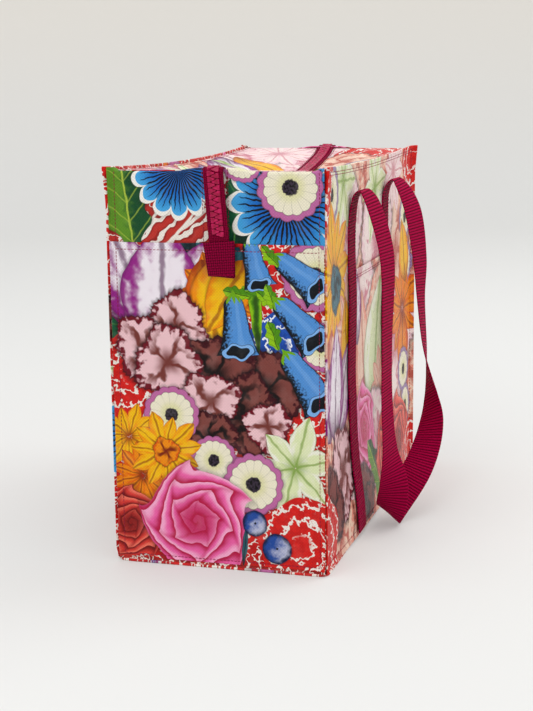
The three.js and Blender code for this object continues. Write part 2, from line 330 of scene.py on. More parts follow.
def fin(edge, foot, top, reach):
    """How far a wall stands out at a corner seam. It is less at the foot and more at the top."""
    return reach * (1 - np.clip(edge / FIN_REACH, 0, 1)) ** 2 * (1 - 0.6 * foot) * (1 + 0.5 * top)


def hem_rise(below, lines, deep):
    """The folded edge of a sheet, pulled in along its stitching."""
    rise = 0.45 * MM * smooth((deep - below) / (1.6 * MM))
    for line in lines:
        rise = rise - 0.3 * MM * np.exp(-(((below - line) / (0.9 * MM)) ** 2))
    return rise


def pucker(along, up):
    """Small gathers beside the seam at the foot of a wall."""
    pull = np.exp(-(((up - FOOT_LINE) / (3.2 * MM)) ** 2))
    gather = np.sin(math.tau * along / (6.6 * MM) + 2 * waves(along, 0 * along, 5, longest=0.05))
    return pull * (0.22 * MM * gather - 0.35 * MM)


def broad_wall(a, b):
    """A broad wall: it dips in at the middle, bellies out low down, and stands out at its corner seams."""
    x = a - HALF_LENGTH
    share = np.clip(b / HEIGHT, 0, 1)
    edge = HALF_LENGTH - np.abs(x)
    middle = 1 - (x / HALF_LENGTH) ** 2
    foot = (1 - np.clip(b / BASE_CORNER, 0, 1)) ** 2
    top = smooth((share - 0.9) / 0.1)
    dent = middle * (BROAD_DENT * np.sin(math.pi * share) ** 0.8 + BROAD_RIM_DENT * share**5)
    belly = BROAD_BELLY * middle * np.exp(-(((b - BELLY_HEIGHT) / BELLY_REACH) ** 2))
    crease = 0.5 * MM * waves(x, b, 3, longest=0.14) * smooth(edge / 0.03) * smooth(b / 0.04)
    out = fin(edge, foot, top, BROAD_FIN) + 1.6 * MM * foot + pucker(a, b) + crease - dent + belly
    out = out + hem_rise(HEIGHT - b, HEM_LINES, HEM)
    z = FOOT + b * (1 - FOOT / HEIGHT) - RIM_DIP * middle * share**2
    return np.stack(np.broadcast_arrays(x * (1 - 0.010 * foot), -(BROAD_FACE + out), z), axis=-1)


def end_wall(a, b):
    """An end wall, whose rim rolls inwards and sags a little beside the zip."""
    y = (HALF_DEPTH - a) * END_HALF / HALF_DEPTH
    share = np.clip(b / HEIGHT, 0, 1)
    edge = END_HALF - np.abs(y)
    middle = 1 - (y / END_HALF) ** 2
    foot = (1 - np.clip(b / BASE_CORNER, 0, 1)) ** 2
    top = smooth((share - 0.9) / 0.1)
    dent = middle * END_DENT * np.sin(math.pi * share) ** 0.8
    crease = 0.55 * MM * waves(y, b, 11, longest=0.11) * smooth(edge / 0.025) * smooth(b / 0.04)
    crease = crease * smooth((HEIGHT - b) / 0.03)
    out = fin(edge, foot, top, END_FIN) + 1.8 * MM * foot + pucker(a, b) + crease - dent
    done = np.clip((b - ROLL_START) / ROLL_LENGTH, 0, 1)
    whole = smooth((edge - 2 * MM) / (6 * MM))
    turn = np.maximum(ROLL_TURN * whole, 1e-3)
    reach = (RIM_ROLL + (ROLL_LENGTH - RIM_ROLL) * whole) / turn
    sag = END_RIM_SAG * smooth(edge / 0.012) * smooth((np.abs(y) - ZIP_CLEAR) / 0.025) * share**8
    z = FOOT + np.minimum(b, ROLL_START) * (1 - FOOT / ROLL_START) + reach * np.sin(turn * done) - sag
    x = -(END_FACE + out) + reach * (1 - np.cos(turn * done))
    return np.stack(np.broadcast_arrays(x, y * (1 - 0.012 * foot), z), axis=-1)


def on_sheet(surface, a, b, lift=0.0):
    """Points a little above a sheet's outer face, and the outward normals there."""
    step = 0.3 * MM
    here = surface(a, b)
    rightwards = surface(a + step, b) - surface(a - step, b)
    upwards = surface(a, b + step) - surface(a, b - step)
    normal = unit(np.cross(rightwards, upwards))
    return here + normal * np.asarray(lift)[..., None], normal


POCKET = 0.7 * MM
POCKET_GAP = 0.25 * MM


def pocket_lift(below, across, mouth):
    """The outer face of a pocket above its wall. Its mouth stands off a little in the middle."""
    gape = mouth * smooth(1 - below / 0.05) * (1 - across**2)
    return POCKET_GAP + POCKET + gape + hem_rise(below, POCKET_LINES, 11 * MM)


def broad_pocket(a, b):
    across = np.clip((a - HALF_LENGTH) / FRONT_POCKET_HALF, -1, 1)
    return on_sheet(broad_wall, a, b, pocket_lift(FRONT_POCKET_TOP - b, across, 0.9 * MM))[0]


def end_pocket(a, b):
    across = np.clip(a / HALF_DEPTH - 1, -1, 1)
    return on_sheet(end_wall, a, b, pocket_lift(END_POCKET_TOP - b, across, 0.6 * MM))[0]


STRIP_HALF = HALF_LENGTH - 5.3 * MM
STRIP_RIM = BROAD_FACE - 2.2 * MM
STRIP_MOUTH = 7 * MM
KNEE = TAPE_REACH + 1.5 * MM


CLIMB_START = 178 * MM
CLIMB_REACH = 26 * MM


def zip_height(x, lift):
    """Height of the zip's line at x. It rises by lift where it climbs over the ends of the bag."""
    climb = lift * smooth((np.abs(x) - CLIMB_START) / CLIMB_REACH)
    return ARC_CENTRE - np.sqrt(ARC_RADIUS**2 - np.clip(x, -0.3, 0.3) ** 2) + climb


def top_strip(a, b):
    """The strip from the front wall's rim to the zip: a along the bag, b from the rim inwards."""
    x = a - STRIP_HALF
    middle = 1 - (x / HALF_LENGTH) ** 2
    y = -STRIP_RIM + b + 3.4 * MM * middle * smooth(1 - b / 0.03)
    rim = HEIGHT - 2.4 * MM - RIM_DIP * middle
    level = zip_height(x, 1.2 * MM) - TAPE / 2 - 0.2 * MM
    done = np.clip(b / (STRIP_RIM - KNEE), 0, 1)
    loose = np.sin(math.pi * done)
    crease = 1.3 * MM * waves(x, b, 23, longest=0.10) * smooth((STRIP_HALF - np.abs(x)) / 0.02)
    z = rim + (level - rim) * done + (crease - 2.5 * MM * middle) * loose
    return np.stack(np.broadcast_arrays(x, y, z), axis=-1)


# ---- The panels

NEAR = (0, 0.5, 1.1, 1.8, 2.7, 3.7, 4.8, 6.0, 7.4, 9.2, 11.5)


def panel(name, surface, across, up, thickness, turned):
    """A sheet sampled at places across and up it. Its thickness is a number, or a function of height."""
    a, b = np.meshgrid(across, up, indexing="ij")
    if callable(thickness):
        thickness = thickness(b)
    return shell(name, surface(a, b), np.stack([a, b], axis=-1), thickness, turned)


def rows_to(top, step=4 * MM):
    """Places up a sheet, close together at the foot and at the top."""
    return spread(top, step, (0, 0.8, 1.6, 2.4, 3.2, 4, 4.8, 5.6, 6.4, 7.2, 8, 9, 10.2, 12))


def broad_side(name, turned):
    across = spread(2 * HALF_LENGTH, 3.5 * MM, NEAR)
    wall = panel(f"{name}_wall", broad_wall, across, rows_to(HEIGHT),
                 lambda b: SHEET + 0.5 * MM * smooth((b - HEIGHT + HEM) / (2 * MM)), turned)
    pocket_across = HALF_LENGTH + np.linspace(-FRONT_POCKET_HALF, FRONT_POCKET_HALF, 54)
    pocket_up = 3 * MM + rows_to(FRONT_POCKET_TOP - 3 * MM)
    pocket = panel(f"{name}_pocket_sheet", broad_pocket, pocket_across, pocket_up, POCKET, turned)
    return wall, pocket


def end_side(name, turned):
    across = spread(2 * HALF_DEPTH, 3 * MM, NEAR)
    up = np.concatenate([rows_to(ROLL_START), ROLL_START + ROLL_LENGTH * np.linspace(0, 1, 13)[1:]])
    wall = panel(f"{name}_end_wall", end_wall, across, up, SHEET, turned)
    pocket_up = 2.4 * MM + rows_to(END_POCKET_TOP - 2.4 * MM)
    pocket = panel(f"{name}_end_pocket_sheet", end_pocket, across, pocket_up, POCKET, turned)
    return wall, pocket


def strip_side(name, turned):
    across = spread(2 * STRIP_HALF, 4 * MM, (0, 1, 2.5, 4.5, 7))
    knee = STRIP_RIM - KNEE
    inwards = np.concatenate([np.linspace(0, knee, 30), [knee + 1.5 * MM, STRIP_RIM - STRIP_MOUTH]])
    return panel(f"{name}_top_strip", top_strip, across, inwards, SHEET, turned)


def base_sheet():
    """The base, whose thick folded edge shows under the walls. Its corners are rounded."""
    half = np.array([HALF_LENGTH - 0.6 * MM, HALF_DEPTH - 0.8 * MM])
    radius = 9 * MM
    near = (0, 0.8, 2, 3.5, 5.5, 8)
    a, b = np.meshgrid(*(spread(2 * reach, 9 * MM, near) for reach in half), indexing="ij")
    place = np.stack([a, b], axis=-1) - half
    beyond = np.maximum(np.abs(place) - (half - radius), 0)
    length = np.maximum(np.linalg.norm(beyond, axis=-1), 1e-9)
    pulled = beyond * (beyond.max(axis=-1) / length)[..., None]
    flat = np.sign(place) * np.where(beyond > 0, half - radius + pulled, np.abs(place))
    z = np.full(a.shape, FOOT + 0.1 * MM) - 0.8 * MM * smooth((half - np.abs(place)).min(axis=-1) / 0.02)
    grid = np.concatenate([flat, z[..., None]], axis=-1)
    return shell("base_sheet", grid, np.stack([a, b], axis=-1), z - 0.1 * MM)


# ---- Handles

# The free loop of a handle, in millimetres, from the left strap to the right one: the place, then how far
# the width has turned from +X towards the outside, and how far it dips, in degrees.
LOOP = [
    (-79, -97.2, 328, 0, 0),
    (-79, -103.0, 332, 4, 0),
    (-79, -109.2, 325.5, 11, 0),
    (-79, -119, 300, 15, 0),
    (-79, -126, 268, 14, 0),
    (-79, -126, 190, 7, 0),
    (-78, -126, 135, 8, 0),
    (-74, -128.5, 80, 18, 0),
    (-66, -130.5, 46, 58, 0),
    (-56, -126, 21, 88, 20),
    (-45, -122, 12.5, 90, 41),
    (-30, -125.5, 18, 93, 42),
    (2, -143, 49, 102, 20),
    (34, -149.5, 83, 121, 3),
    (53, -146, 111, 146, 0),
    (68, -137, 158, 175, 0),
    (76, -131, 210, 185, 0),
    (79, -129, 250, 197, 0),
    (79, -120.5, 302, 203, 0),
    (79, -109.2, 325.5, 193, 0),
    (79, -103.0, 332, 184, 0),
    (79, -97.2, 328, 180, 0),
]
RIB_PITCH = 2.97 * MM


def width_direction(turn, dip):
    """The direction of the webbing's width, from a row of LOOP."""
    t, d = math.radians(turn), math.radians(dip)
    return math.cos(t) * math.cos(d), -math.sin(t) * math.cos(d), -math.sin(d)


def sewn_strap(side):
    """The middle of a strap sewn to the front wall, from the foot up, and the normals of its outer face."""
    up = np.linspace(2.5 * MM, STRAP_TOP - 12 * MM, 60)
    over_pocket = smooth((FRONT_POCKET_TOP + 12 * MM - up) / (16 * MM))
    lift = WEBBING / 2 + 0.15 * MM + (POCKET_GAP + POCKET + 0.2 * MM) * over_pocket
    return on_sheet(broad_wall, HALF_LENGTH + side * STRAP_X, up, lift)


def handle(name, turned):
    """One length of webbing in three pieces: up the left of the wall, round the loop, and down the right."""
    left, _ = sewn_strap(-1)
    right, _ = sewn_strap(1)
    rows = [(*p, 1, 0, 0) for p in left[::4]]
    rows += [(x * MM, y * MM, z * MM, *width_direction(turn, dip)) for x, y, z, turn, dip in LOOP]
    rows += [(*p, -1, 0, 0) for p in right[::-4]]
    per_span = 60
    curve = catmull(rows, per_span)
    along = distances(curve)
    places = np.linspace(0, along[-1], round(along[-1] / (RIB_PITCH / 4)))
    even = sampled(curve, along, places)
    # Each cut falls on a rib, and an even number of ribs from the last, so the ribs and the weave run on.
    ends = (len(left[::4]) - 1, len(rows) - len(right[::-4]))
    cuts = [0] + [8 * round(along[end * per_span] / places[1] / 8) for end in ends] + [len(even) - 1]
    pieces = []
    for part, start, end in zip(("strap_left", "handle", "strap_right"), cuts, cuts[1:]):
        centre, across = even[start : end + 1, :3], even[start : end + 1, 3:]
        full_name = f"{name}_{part}_webbing"
        pieces.append(ribbon(full_name, centre, across, STRAP_HALF, WEBBING, RIB_PITCH, turned))
    return pieces


# ---- Zip

CLIMB = 2.4 * MM
BEND_START = 0.2072
BEND_REACH = TAIL_FACE - BEND_START


def zip_line(s):
    """Places on the zip's middle line at distances s from mid-length. It bends down over each end."""
    side = np.sign(s)
    step = 0.1 * MM
    table_x = np.arange(0, BEND_START + step / 2, step)
    table_z = zip_height(table_x, CLIMB)
    table_s = np.concatenate([[0], np.cumsum(np.hypot(np.diff(table_x), np.diff(table_z)))])
    slope = math.atan2(table_z[-1] - table_z[-2], step)
    radius = BEND_REACH / (1 + math.sin(slope))
    distance = np.abs(s)
    round_end = table_s[-1] + radius * (math.pi / 2 + slope)
    heading = slope - np.clip((distance - table_s[-1]) / radius, 0, math.pi / 2 + slope)
    on_arc = distance < table_s[-1]
    centre_x = table_x[-1] + radius * math.sin(slope)
    centre_z = table_z[-1] - radius * math.cos(slope)
    x = np.where(on_arc, np.interp(distance, table_s, table_x), centre_x - radius * np.sin(heading))
    z = np.where(on_arc, np.interp(distance, table_s, table_z), centre_z + radius * np.cos(heading))
    z = z - np.maximum(distance - round_end, 0)
    lean = TAIL_LEAN * np.maximum(distance - table_s[-1], 0)
    return np.stack([side * x, side * lean, z], axis=-1)


def zip_frames(s):
    """Place, direction, outward normal and width of the zip at distances s."""
    step = 0.2 * MM
    place = zip_line(s)
    forward = unit(zip_line(s + step) - zip_line(s - step))
    outward = unit(np.cross(forward, np.array([0.0, 1.0, 0.0])))
    return place, forward, outward, np.cross(outward, forward)


def zip_length(x):
    """Distance along the zip at which it reaches x."""
    s = np.linspace(0, HALF_LENGTH + 2 * MM, 4000)
    return float(np.interp(x, zip_line(s)[:, 0], s))


def zip_band(name, start, end, inner, outer, lift, thickness):
    """A sheet along the zip between two distances from its middle line."""
    s = np.linspace(start, end, max(4, round((end - start) / (0.9 * MM))))
    w = np.linspace(inner, outer, 6)
    place, _, outward, width = zip_frames(s)
    grid = place[:, None] + width[:, None] * w[None, :, None] + outward[:, None] * lift
    return shell(name, grid, np.stack(np.meshgrid(s, w, indexing="ij"), axis=-1), thickness)


def tooth_shape():
    """One tooth of the -Y row: a wide root on the tape and a narrow head past the middle line."""
    half = [(2.1, -5.3), (2.25, -4.9), (2.25, -2.9), (1.75, -2.0), (0.62, 1.3), (0.3, 1.55)]
    outline = [(s * MM, w * MM) for s, w in half] + [(-s * MM, w * MM) for s, w in reversed(half)]
    made = bmesh.new()
    low = [made.verts.new((s, w, -TEETH_THICK / 2)) for s, w in outline]
    made.faces.new(low[::-1])
    high = [made.verts.new((s, w, TEETH_THICK / 2)) for s, w in outline]
    made.faces.new(high)
    for i, corner in enumerate(low):
        after = (i + 1) % len(low)
        made.faces.new([corner, low[after], high[after], high[i]])
    bmesh.ops.recalc_face_normals(made, faces=made.faces)
    rims = [e for e in made.edges if abs(e.verts[0].co.z - e.verts[1].co.z) < 1e-6]
    bmesh.ops.bevel(made, geom=rims, offset=0.45 * MM, segments=2, affect="EDGES", profile=0.6)
    made.verts.index_update()
    points = np.array([v.co for v in made.verts])
    faces = [[v.index for v in f.verts] for f in made.faces]
    made.free()
    return points, faces


def teeth(name, start, end, rows):
    """Teeth along the zip from start to end. Rows are -1 for the front one and 1 for the back one."""
    frames = []
    for row in rows:
        shift = row * TOOTH_PITCH / 4
        first = math.ceil((start - shift) / TOOTH_PITCH) * TOOTH_PITCH + shift
        place, forward, outward, width = zip_frames(np.arange(first, end, TOOTH_PITCH))
        frames += zip(place, -row * forward, -row * width, outward)
    return repeated(name, *tooth_shape(), frames, 35)


def tail_tab(name, turned):
    """The tab: webbing folded round the end of the tape, narrower at its fold."""
    gap = TAPE / 2 + 0.35 * MM + WEBBING / 2
    drop = np.linspace(0, TAB_HIGH.z - TAB_LOW.z - gap - WEBBING / 2, 40)
    top = TAB_HIGH.z + 0.5 * MM
    curve = np.linspace(0, math.pi, 13)[1:-1]
    fold = top - drop[-1]
    outer = [(-(TAIL_FACE + gap), top - d) for d in drop]
    under = [(-(TAIL_FACE + gap * math.cos(t)), fold - gap * math.sin(t)) for t in curve]
    back = [(-(TAIL_FACE - gap), top - d) for d in drop[::-1]]
    path = np.array([(x, -TAIL_LEAN * (HEIGHT - z), z) for x, z in outer + under + back])
    along = distances(path)
    even = sampled(path, along, np.linspace(0, along[-1], round(along[-1] / (0.7 * MM)) + 1))
    share = (top - even[:, 2]) / (top - TAB_LOW.z)
    half = (14 - 2.2 * share) * MM
    across = np.tile([0.0, -1.0, -TAIL_LEAN], (len(even), 1))
    return ribbon(name, even, across, half, WEBBING * 0.9, None, turned)


# ---- Seams


def seam(surface, a, b, lift=0.1 * MM, count=160):
    """A row of stitching on a sheet between two places: a and b each hold a start and an end."""
    return on_sheet(surface, np.linspace(*a, count), np.linspace(*b, count), lift)


def broad_seams():
    """A broad wall's hem, sides and foot, and its pocket's mouth and foot between the straps."""
    whole = (SIDE_LINE, 2 * HALF_LENGTH - SIDE_LINE)
    rows = [seam(broad_wall, whole, (HEIGHT - line,) * 2) for line in HEM_LINES]
    rows.append(seam(broad_wall, whole, (FOOT_LINE,) * 2))
    for a in whole:
        rows.append(seam(broad_wall, (a, a), (FOOT_LINE, HEIGHT - 2 * MM)))
    inside = STRAP_X - STRAP_HALF
    mouth = (HALF_LENGTH - inside, HALF_LENGTH + inside)
    rows += [seam(broad_pocket, mouth, (FRONT_POCKET_TOP - line,) * 2) for line in POCKET_LINES]
    rows.append(seam(broad_pocket, mouth, (FOOT_LINE + 1.5 * MM,) * 2))
    return rows


def strap_seams():
    """Rows along both edges of each sewn strap, and two across it near its top."""
    rows = []
    for side in (-1, 1):
        centre, normal = sewn_strap(side)
        face = centre + normal * (WEBBING / 2 - 0.05 * MM)
        for reach in (-STRAP_HALF + 2.4 * MM, STRAP_HALF - 2.4 * MM):
            rows.append((face + np.array([reach, 0, 0]), normal))
        for up in (-1, -7):
            ends = face[up] + np.array([[-STRAP_HALF + 2.4 * MM, 0, 0], [STRAP_HALF - 2.4 * MM, 0, 0]])
            rows.append((ends, normal[[up, up]]))
    return rows


def end_seams():
    """An end pocket's mouth, foot and sides, and the wall's rows above it beside the zip's tail."""
    whole = (SIDE_LINE, 2 * HALF_DEPTH - SIDE_LINE)
    rows = [seam(end_pocket, whole, (END_POCKET_TOP - POCKET_LINES[0],) * 2)]
    rows.append(seam(end_pocket, whole, (FOOT_LINE,) * 2))
    for a in whole:
        rows.append(seam(end_pocket, (a, a), (FOOT_LINE, END_POCKET_TOP - 1 * MM)))
        rows.append(seam(end_wall, (a, a), (END_POCKET_TOP + 1 * MM, ROLL_START)))
    for y in (-11.6 * MM, 11.6 * MM):
        a = HALF_DEPTH - y * HALF_DEPTH / END_HALF
        rows.append(seam(end_wall, (a, a), (END_POCKET_TOP + 1 * MM, ROLL_START + 3 * MM)))
    return rows


def strip_seams():
    whole = (2 * MM, 2 * STRIP_HALF - 2 * MM)
    return [seam(top_strip, whole, (b, b)) for b in (3 * MM, STRIP_RIM - TAPE_REACH - 1.6 * MM)]


def tape_seam(row):
    """A row of stitching along the outer half of a tape."""
    end = zip_length(HALF_LENGTH - 6 * MM)
    place, _, outward, width = zip_frames(np.linspace(-end, end, 300))
    return [(place + width * row * 7.9 * MM + outward * (TAPE / 2), outward)]


# ---- Shader nodes, written as arithmetic


def shade(code):
    """A linear colour from a hexadecimal sRGB one."""
    parts = [int(code[i : i + 2], 16) / 255 for i in (0, 2, 4)]
    return tuple(c / 12.92 if c <= 0.04045 else ((c + 0.055) / 1.055) ** 2.4 for c in parts)


def put(tree, slot, item):
    """Feeds a number, a colour or another node into a socket."""
    if isinstance(item, Value):
        item = item.socket
    if isinstance(item, bpy.types.NodeSocket):
        tree.links.new(item, slot)
    elif isinstance(item, tuple) and slot.type == "RGBA":
        slot.default_value = (*item, 1)
    else:
        slot.default_value = item


class Value:
    """A number in a node tree."""

    def __init__(self, tree, socket):
        self.tree = tree
        self.socket = socket

    def calc(self, operation, *others):
        node = self.tree.nodes.new("ShaderNodeMath")
        node.operation = operation
        for slot, item in zip(node.inputs, (self, *others)):
            put(self.tree, slot, item)
        return Value(self.tree, node.outputs[0])

    def wrapped(self, half):
        return self.calc("WRAP", half, -half)


for method, operation in {
    "__add__": "ADD", "__sub__": "SUBTRACT", "__mul__": "MULTIPLY", "__truediv__": "DIVIDE",
    "__abs__": "ABSOLUTE", "sin": "SINE", "cos": "COSINE", "part": "FRACT", "least": "MINIMUM",
    "most": "MAXIMUM", "power": "POWER", "floor": "FLOOR", "root": "SQRT",
}.items():
    setattr(Value, method, partialmethod(Value.calc, operation))


class Sketch:
    """Adds nodes to a tree, in the order in which they feed each other."""

    def __init__(self, tree):
        self.tree = tree

    def add(self, kind, **settings):
        node = self.tree.nodes.new(kind)
        for key, value in settings.items():
            setattr(node, key, value)
        return node

    def split(self, place):
        node = self.add("ShaderNodeSeparateXYZ")
        put(self.tree, node.inputs[0], place)
        return Value(self.tree, node.outputs[0]), Value(self.tree, node.outputs[1])

    def shifted(self, place, shift):
        node = self.add("ShaderNodeMapping")
        put(self.tree, node.inputs["Vector"], place)
        node.inputs["Location"].default_value = (shift, shift, 0)
        return node.outputs[0]

    def polar(self, x, y):
        return y.calc("MULTIPLY_ADD", y, x * x).root(), y.calc("ARCTAN2", x)

    def noise(self, place, scale, detail=1.0):
        node = self.add("ShaderNodeTexNoise", noise_dimensions="2D")
        put(self.tree, node.inputs["Vector"], place)
        node.inputs["Scale"].default_value = scale
        node.inputs["Detail"].default_value = detail
        return Value(self.tree, node.outputs[0])

    def ramp(self, value, start, end, low=0.0, high=1.0):
        node = self.add("ShaderNodeMapRange", interpolation_type="SMOOTHSTEP", clamp=False)
        for slot, item in zip(node.inputs, (value, start, end, low, high)):
            put(self.tree, slot, item)
        return Value(self.tree, node.outputs[0])

    def mix(self, share, under, over):
        node = self.add("ShaderNodeMix", data_type="RGBA")
        for slot, item in zip((node.inputs[0], node.inputs[6], node.inputs[7]), (share, under, over)):
            put(self.tree, slot, item)
        return node.outputs[2]

    def local(self, across, along, x, y, size, turn):
        """A motif's own coordinates: its middle at x, y and its radius size, in millimetres."""
        cos = math.cos(math.radians(turn)) / (size * MM)
        sin = math.sin(math.radians(turn)) / (size * MM)
        part = along.calc("MULTIPLY_ADD", sin, -(x * cos + y * sin) * MM)
        sideways = across.calc("MULTIPLY_ADD", cos, part)
        part = along.calc("MULTIPLY_ADD", cos, (x * sin - y * cos) * MM)
        return sideways, across.calc("MULTIPLY_ADD", -sin, part)


# ---- The print's flowers. Each one is painted over what is under it, in a circle of radius 1. The grains
# are noise fields of the whole sheet: coarse, middling and fine.

INK = shade("0a070b")
SHADOW = shade("180c12")
WHITE = shade("f7f4ee")
# The print's colours are deepened by this gamma.
INK_DEPTH = 1.16


def lay(k, under, flower, reach, shadow=0.4):
    """Puts a flower on the cloth where reach is under 1, with a soft shadow round it."""
    dark = k.mix(k.ramp(reach, 1.13, 0.98) * shadow, under, SHADOW)
    return k.mix(k.ramp(reach, 1.006, 0.988), dark, flower)


def rosette(k, x, y, grains, under, petal, rim, disc):
    """A flat round daisy: joined petals with a coloured rim, fine veins and a dark disc."""
    fine = grains[2]
    r, turn = k.polar(x, y)
    lobe = abs((turn * 7.5).sin())
    reach = r / (lobe * 0.07 + 0.93)
    flower = k.mix(k.ramp(r, 0.55, 0.25) * 0.5, petal, shade("d9d98a"))
    vein = k.ramp(lobe, 0.09, 0.0) * k.ramp(r, 0.2, 0.45) * 0.55
    flower = k.mix(vein, flower, INK)
    flower = k.mix(k.ramp(reach, 0.79, 0.81), flower, rim)
    line = k.ramp(abs(reach - 0.8), 0.022, 0.006) * 0.45
    flower = k.mix(line.most(k.ramp(reach, 0.95, 1.0) * 0.5), flower, INK)
    heart = k.mix(k.ramp(fine, 0.42, 0.62), disc, INK)
    flower = k.mix(k.ramp(r + fine * 0.1, 0.31, 0.27), flower, heart)
    return lay(k, under, flower, reach)


def streaked(k, x, y, grains, under, petal, tip, streak):
    """A many-petalled flower with dark tapering streaks, pale tips and a white outline."""
    r, turn = k.polar(x, y)
    lobe = abs((turn * 7).cos())
    reach = r / (lobe.power(0.5) * 0.24 + 0.76)
    comb = abs((turn * 6.685 + grains[1] * 0.5).part() - 0.5)
    width = k.ramp(r, 0.15, 0.86, 0.36, 0.05)
    flower = k.mix(k.ramp(reach, 0.45, 0.95), petal, tip)
    flower = k.mix(k.ramp(lobe, 0.16, 0.02) * 0.5, flower, streak)
    flower = k.mix(k.ramp(comb - width, 0.03, -0.03) * k.ramp(reach, 0.86, 0.78), flower, streak)
    flower = k.mix(k.ramp(reach, 0.90, 0.915), flower, WHITE)
    return lay(k, under, flower, reach, 0.25)


def petal_colour(k, x, y, grains, reach, edge, middle, vein):
    """Streaks that run along a petal from its root, with a fine line near its outline."""
    streak = (x * 40 + grains[0] * 9).sin() * 0.22 + grains[1] * 0.5 + 0.25
    side = k.ramp(reach + (streak - 0.5) * 0.8, 0.35, 0.95)
    painted = k.mix(side, middle, edge)
    painted = k.mix(k.ramp(abs(x) + (streak - 0.5) * 0.05, 0.035, 0.0) * 0.7, painted, vein)
    painted = k.mix(k.ramp(y, 0.35, 0.0) * 0.75, painted, vein)
    return k.mix(k.ramp(reach, 0.88, 1.0) * 0.45, painted, vein)


def petal_reach(k, x, y, wide, blunt):
    """Under 1 inside a petal that runs from 0, 0 to 0, 1."""
    profile = (y.most(0.0).least(1.0).power(blunt) * math.pi).sin() * wide
    return abs(x) / profile.most(0.004) + k.ramp(abs(y - 0.5), 0.485, 0.5, 0.0, 3.0)


def blade(wide, blunt):
    """One petal: wide is its half width, and blunt puts its widest part lower or higher."""

    def draw(k, x, y, grains, under, edge, middle, vein):
        reach = petal_reach(k, x, y, wide, blunt)
        return lay(k, under, petal_colour(k, x, y, grains, reach, edge, middle, vein), reach)

    return draw


def wheel(count, wide, blunt):
    """A ring of petals, each a little longer or shorter than the next."""

    def draw(k, x, y, grains, under, edge, middle, vein):
        r, turn = k.polar(x, y)
        step = math.tau / count
        number = ((turn / step) + 0.5).floor()
        bend = turn.wrapped(step / 2)
        size = r / ((number * 2.4).sin() * 0.09 + 0.91)
        x, y = size * bend.sin(), size * bend.cos()
        reach = petal_reach(k, x, y, wide, blunt)
        return lay(k, under, petal_colour(k, x, y, grains, reach, edge, middle, vein), reach)

    return draw


def ruffle(k, x, y, grains, under, edge, petal, hollow):
    """A frilled bloom: wavy, toothed petals with a dark fringe that fades into hollows."""
    coarse = grains[0]
    r, turn = k.polar(x, y)
    tooth = abs((turn * 6.5 + coarse * 2).part() - 0.5) * 0.1
    lobes = (turn * 3 + 1).sin() * 0.09 + (turn * 7).sin() * 0.05
    reach = r / (lobes + tooth + 0.83)
    fringe = (turn * 17 + coarse * 12).sin() * 0.12 + grains[1]
    fold = (turn * 4 + coarse * 9 + r * 3).sin()
    flower = k.mix(k.ramp(fold, 0.0, 0.9) * k.ramp(reach, 0.98, 0.5), petal, hollow)
    flower = k.mix(k.ramp(reach, 0.5, 0.05), flower, hollow)
    flower = k.mix(k.ramp(reach + (fringe - 0.5) * 0.55, 0.8, 0.93), flower, edge)
    flower = k.mix(k.ramp(reach, 0.93, 1.0) * 0.6, flower, INK)
    return lay(k, under, flower, reach, 0.6)


def rose(k, x, y, grains, under, light, petal, hollow):
    """A full rose: straight-sided petals that wind outwards from a dark heart."""
    r, turn = k.polar(x, y)
    side = (turn + r * 1.5).wrapped(math.pi / 5)
    flat = r * side.cos() * 1.12
    level = (flat * 4.6 + turn / math.tau + grains[0] * 0.5).part()
    flower = k.mix(k.ramp(level, 0.0, 0.55), hollow, petal)
    flower = k.mix(k.ramp(level, 0.5, 0.9) * k.ramp(r, 0.1, 0.6), flower, light)
    flower = k.mix(k.ramp(r, 0.55, 0.12) * 0.75, flower, hollow)
    flower = k.mix(k.ramp(abs(side), 0.48, 0.63) * 0.3, flower, hollow)
    return lay(k, under, flower, flat)


def bell(k, x, y, grains, under, body, pale, dark):
    """A bell flower hanging along -Y, hatched in ink down one side, with a frilled dark mouth."""
    fine = grains[2]
    down = y * -0.5 + 0.5
    flare = down.most(0.0).least(1.0)
    width = flare * 0.28 + flare.power(7.0) * 0.16 + k.ramp(flare, 0.0, 0.2, 0.02, 0.27)
    across = x / width
    ends = k.ramp(abs(down - 0.5), 0.5, 0.51, 0.0, 3.0)
    reach = abs(across) + ends
    hatch = across + (fine - 0.5) * 1.1
    flower = k.mix(k.ramp(hatch, -0.35, -0.85), body, dark)
    flower = k.mix(k.ramp(hatch, 0.85, 1.2) * 0.6, flower, dark)
    flower = k.mix(k.ramp(abs(across - 0.25), 0.25, 0.1) * 0.35, flower, pale)
    flower = k.mix(k.ramp(reach, 0.92, 0.97), flower, INK)
    calyx = (abs((across * 1.5).part() - 0.5)) * 0.22 + 0.09
    flower = k.mix(k.ramp(down - calyx, 0.012, 0.0), flower, shade("7cb414"))
    under = lay(k, under, flower, reach)
    mouth_y = y + 0.9
    wavy = mouth_y + (x * 11).sin() * 0.04
    mouth = ((x * x) / 0.3 + wavy * wavy / 0.06).root()
    inside = k.mix(k.ramp(mouth_y + fine * 0.2, -0.1, 0.2), INK, dark)
    frill = k.mix(k.ramp(mouth, 0.68, 0.72), inside, pale)
    frill = k.mix(k.ramp(mouth, 0.93, 0.98), frill, INK)
    return lay(k, under, frill, mouth, 0.2)


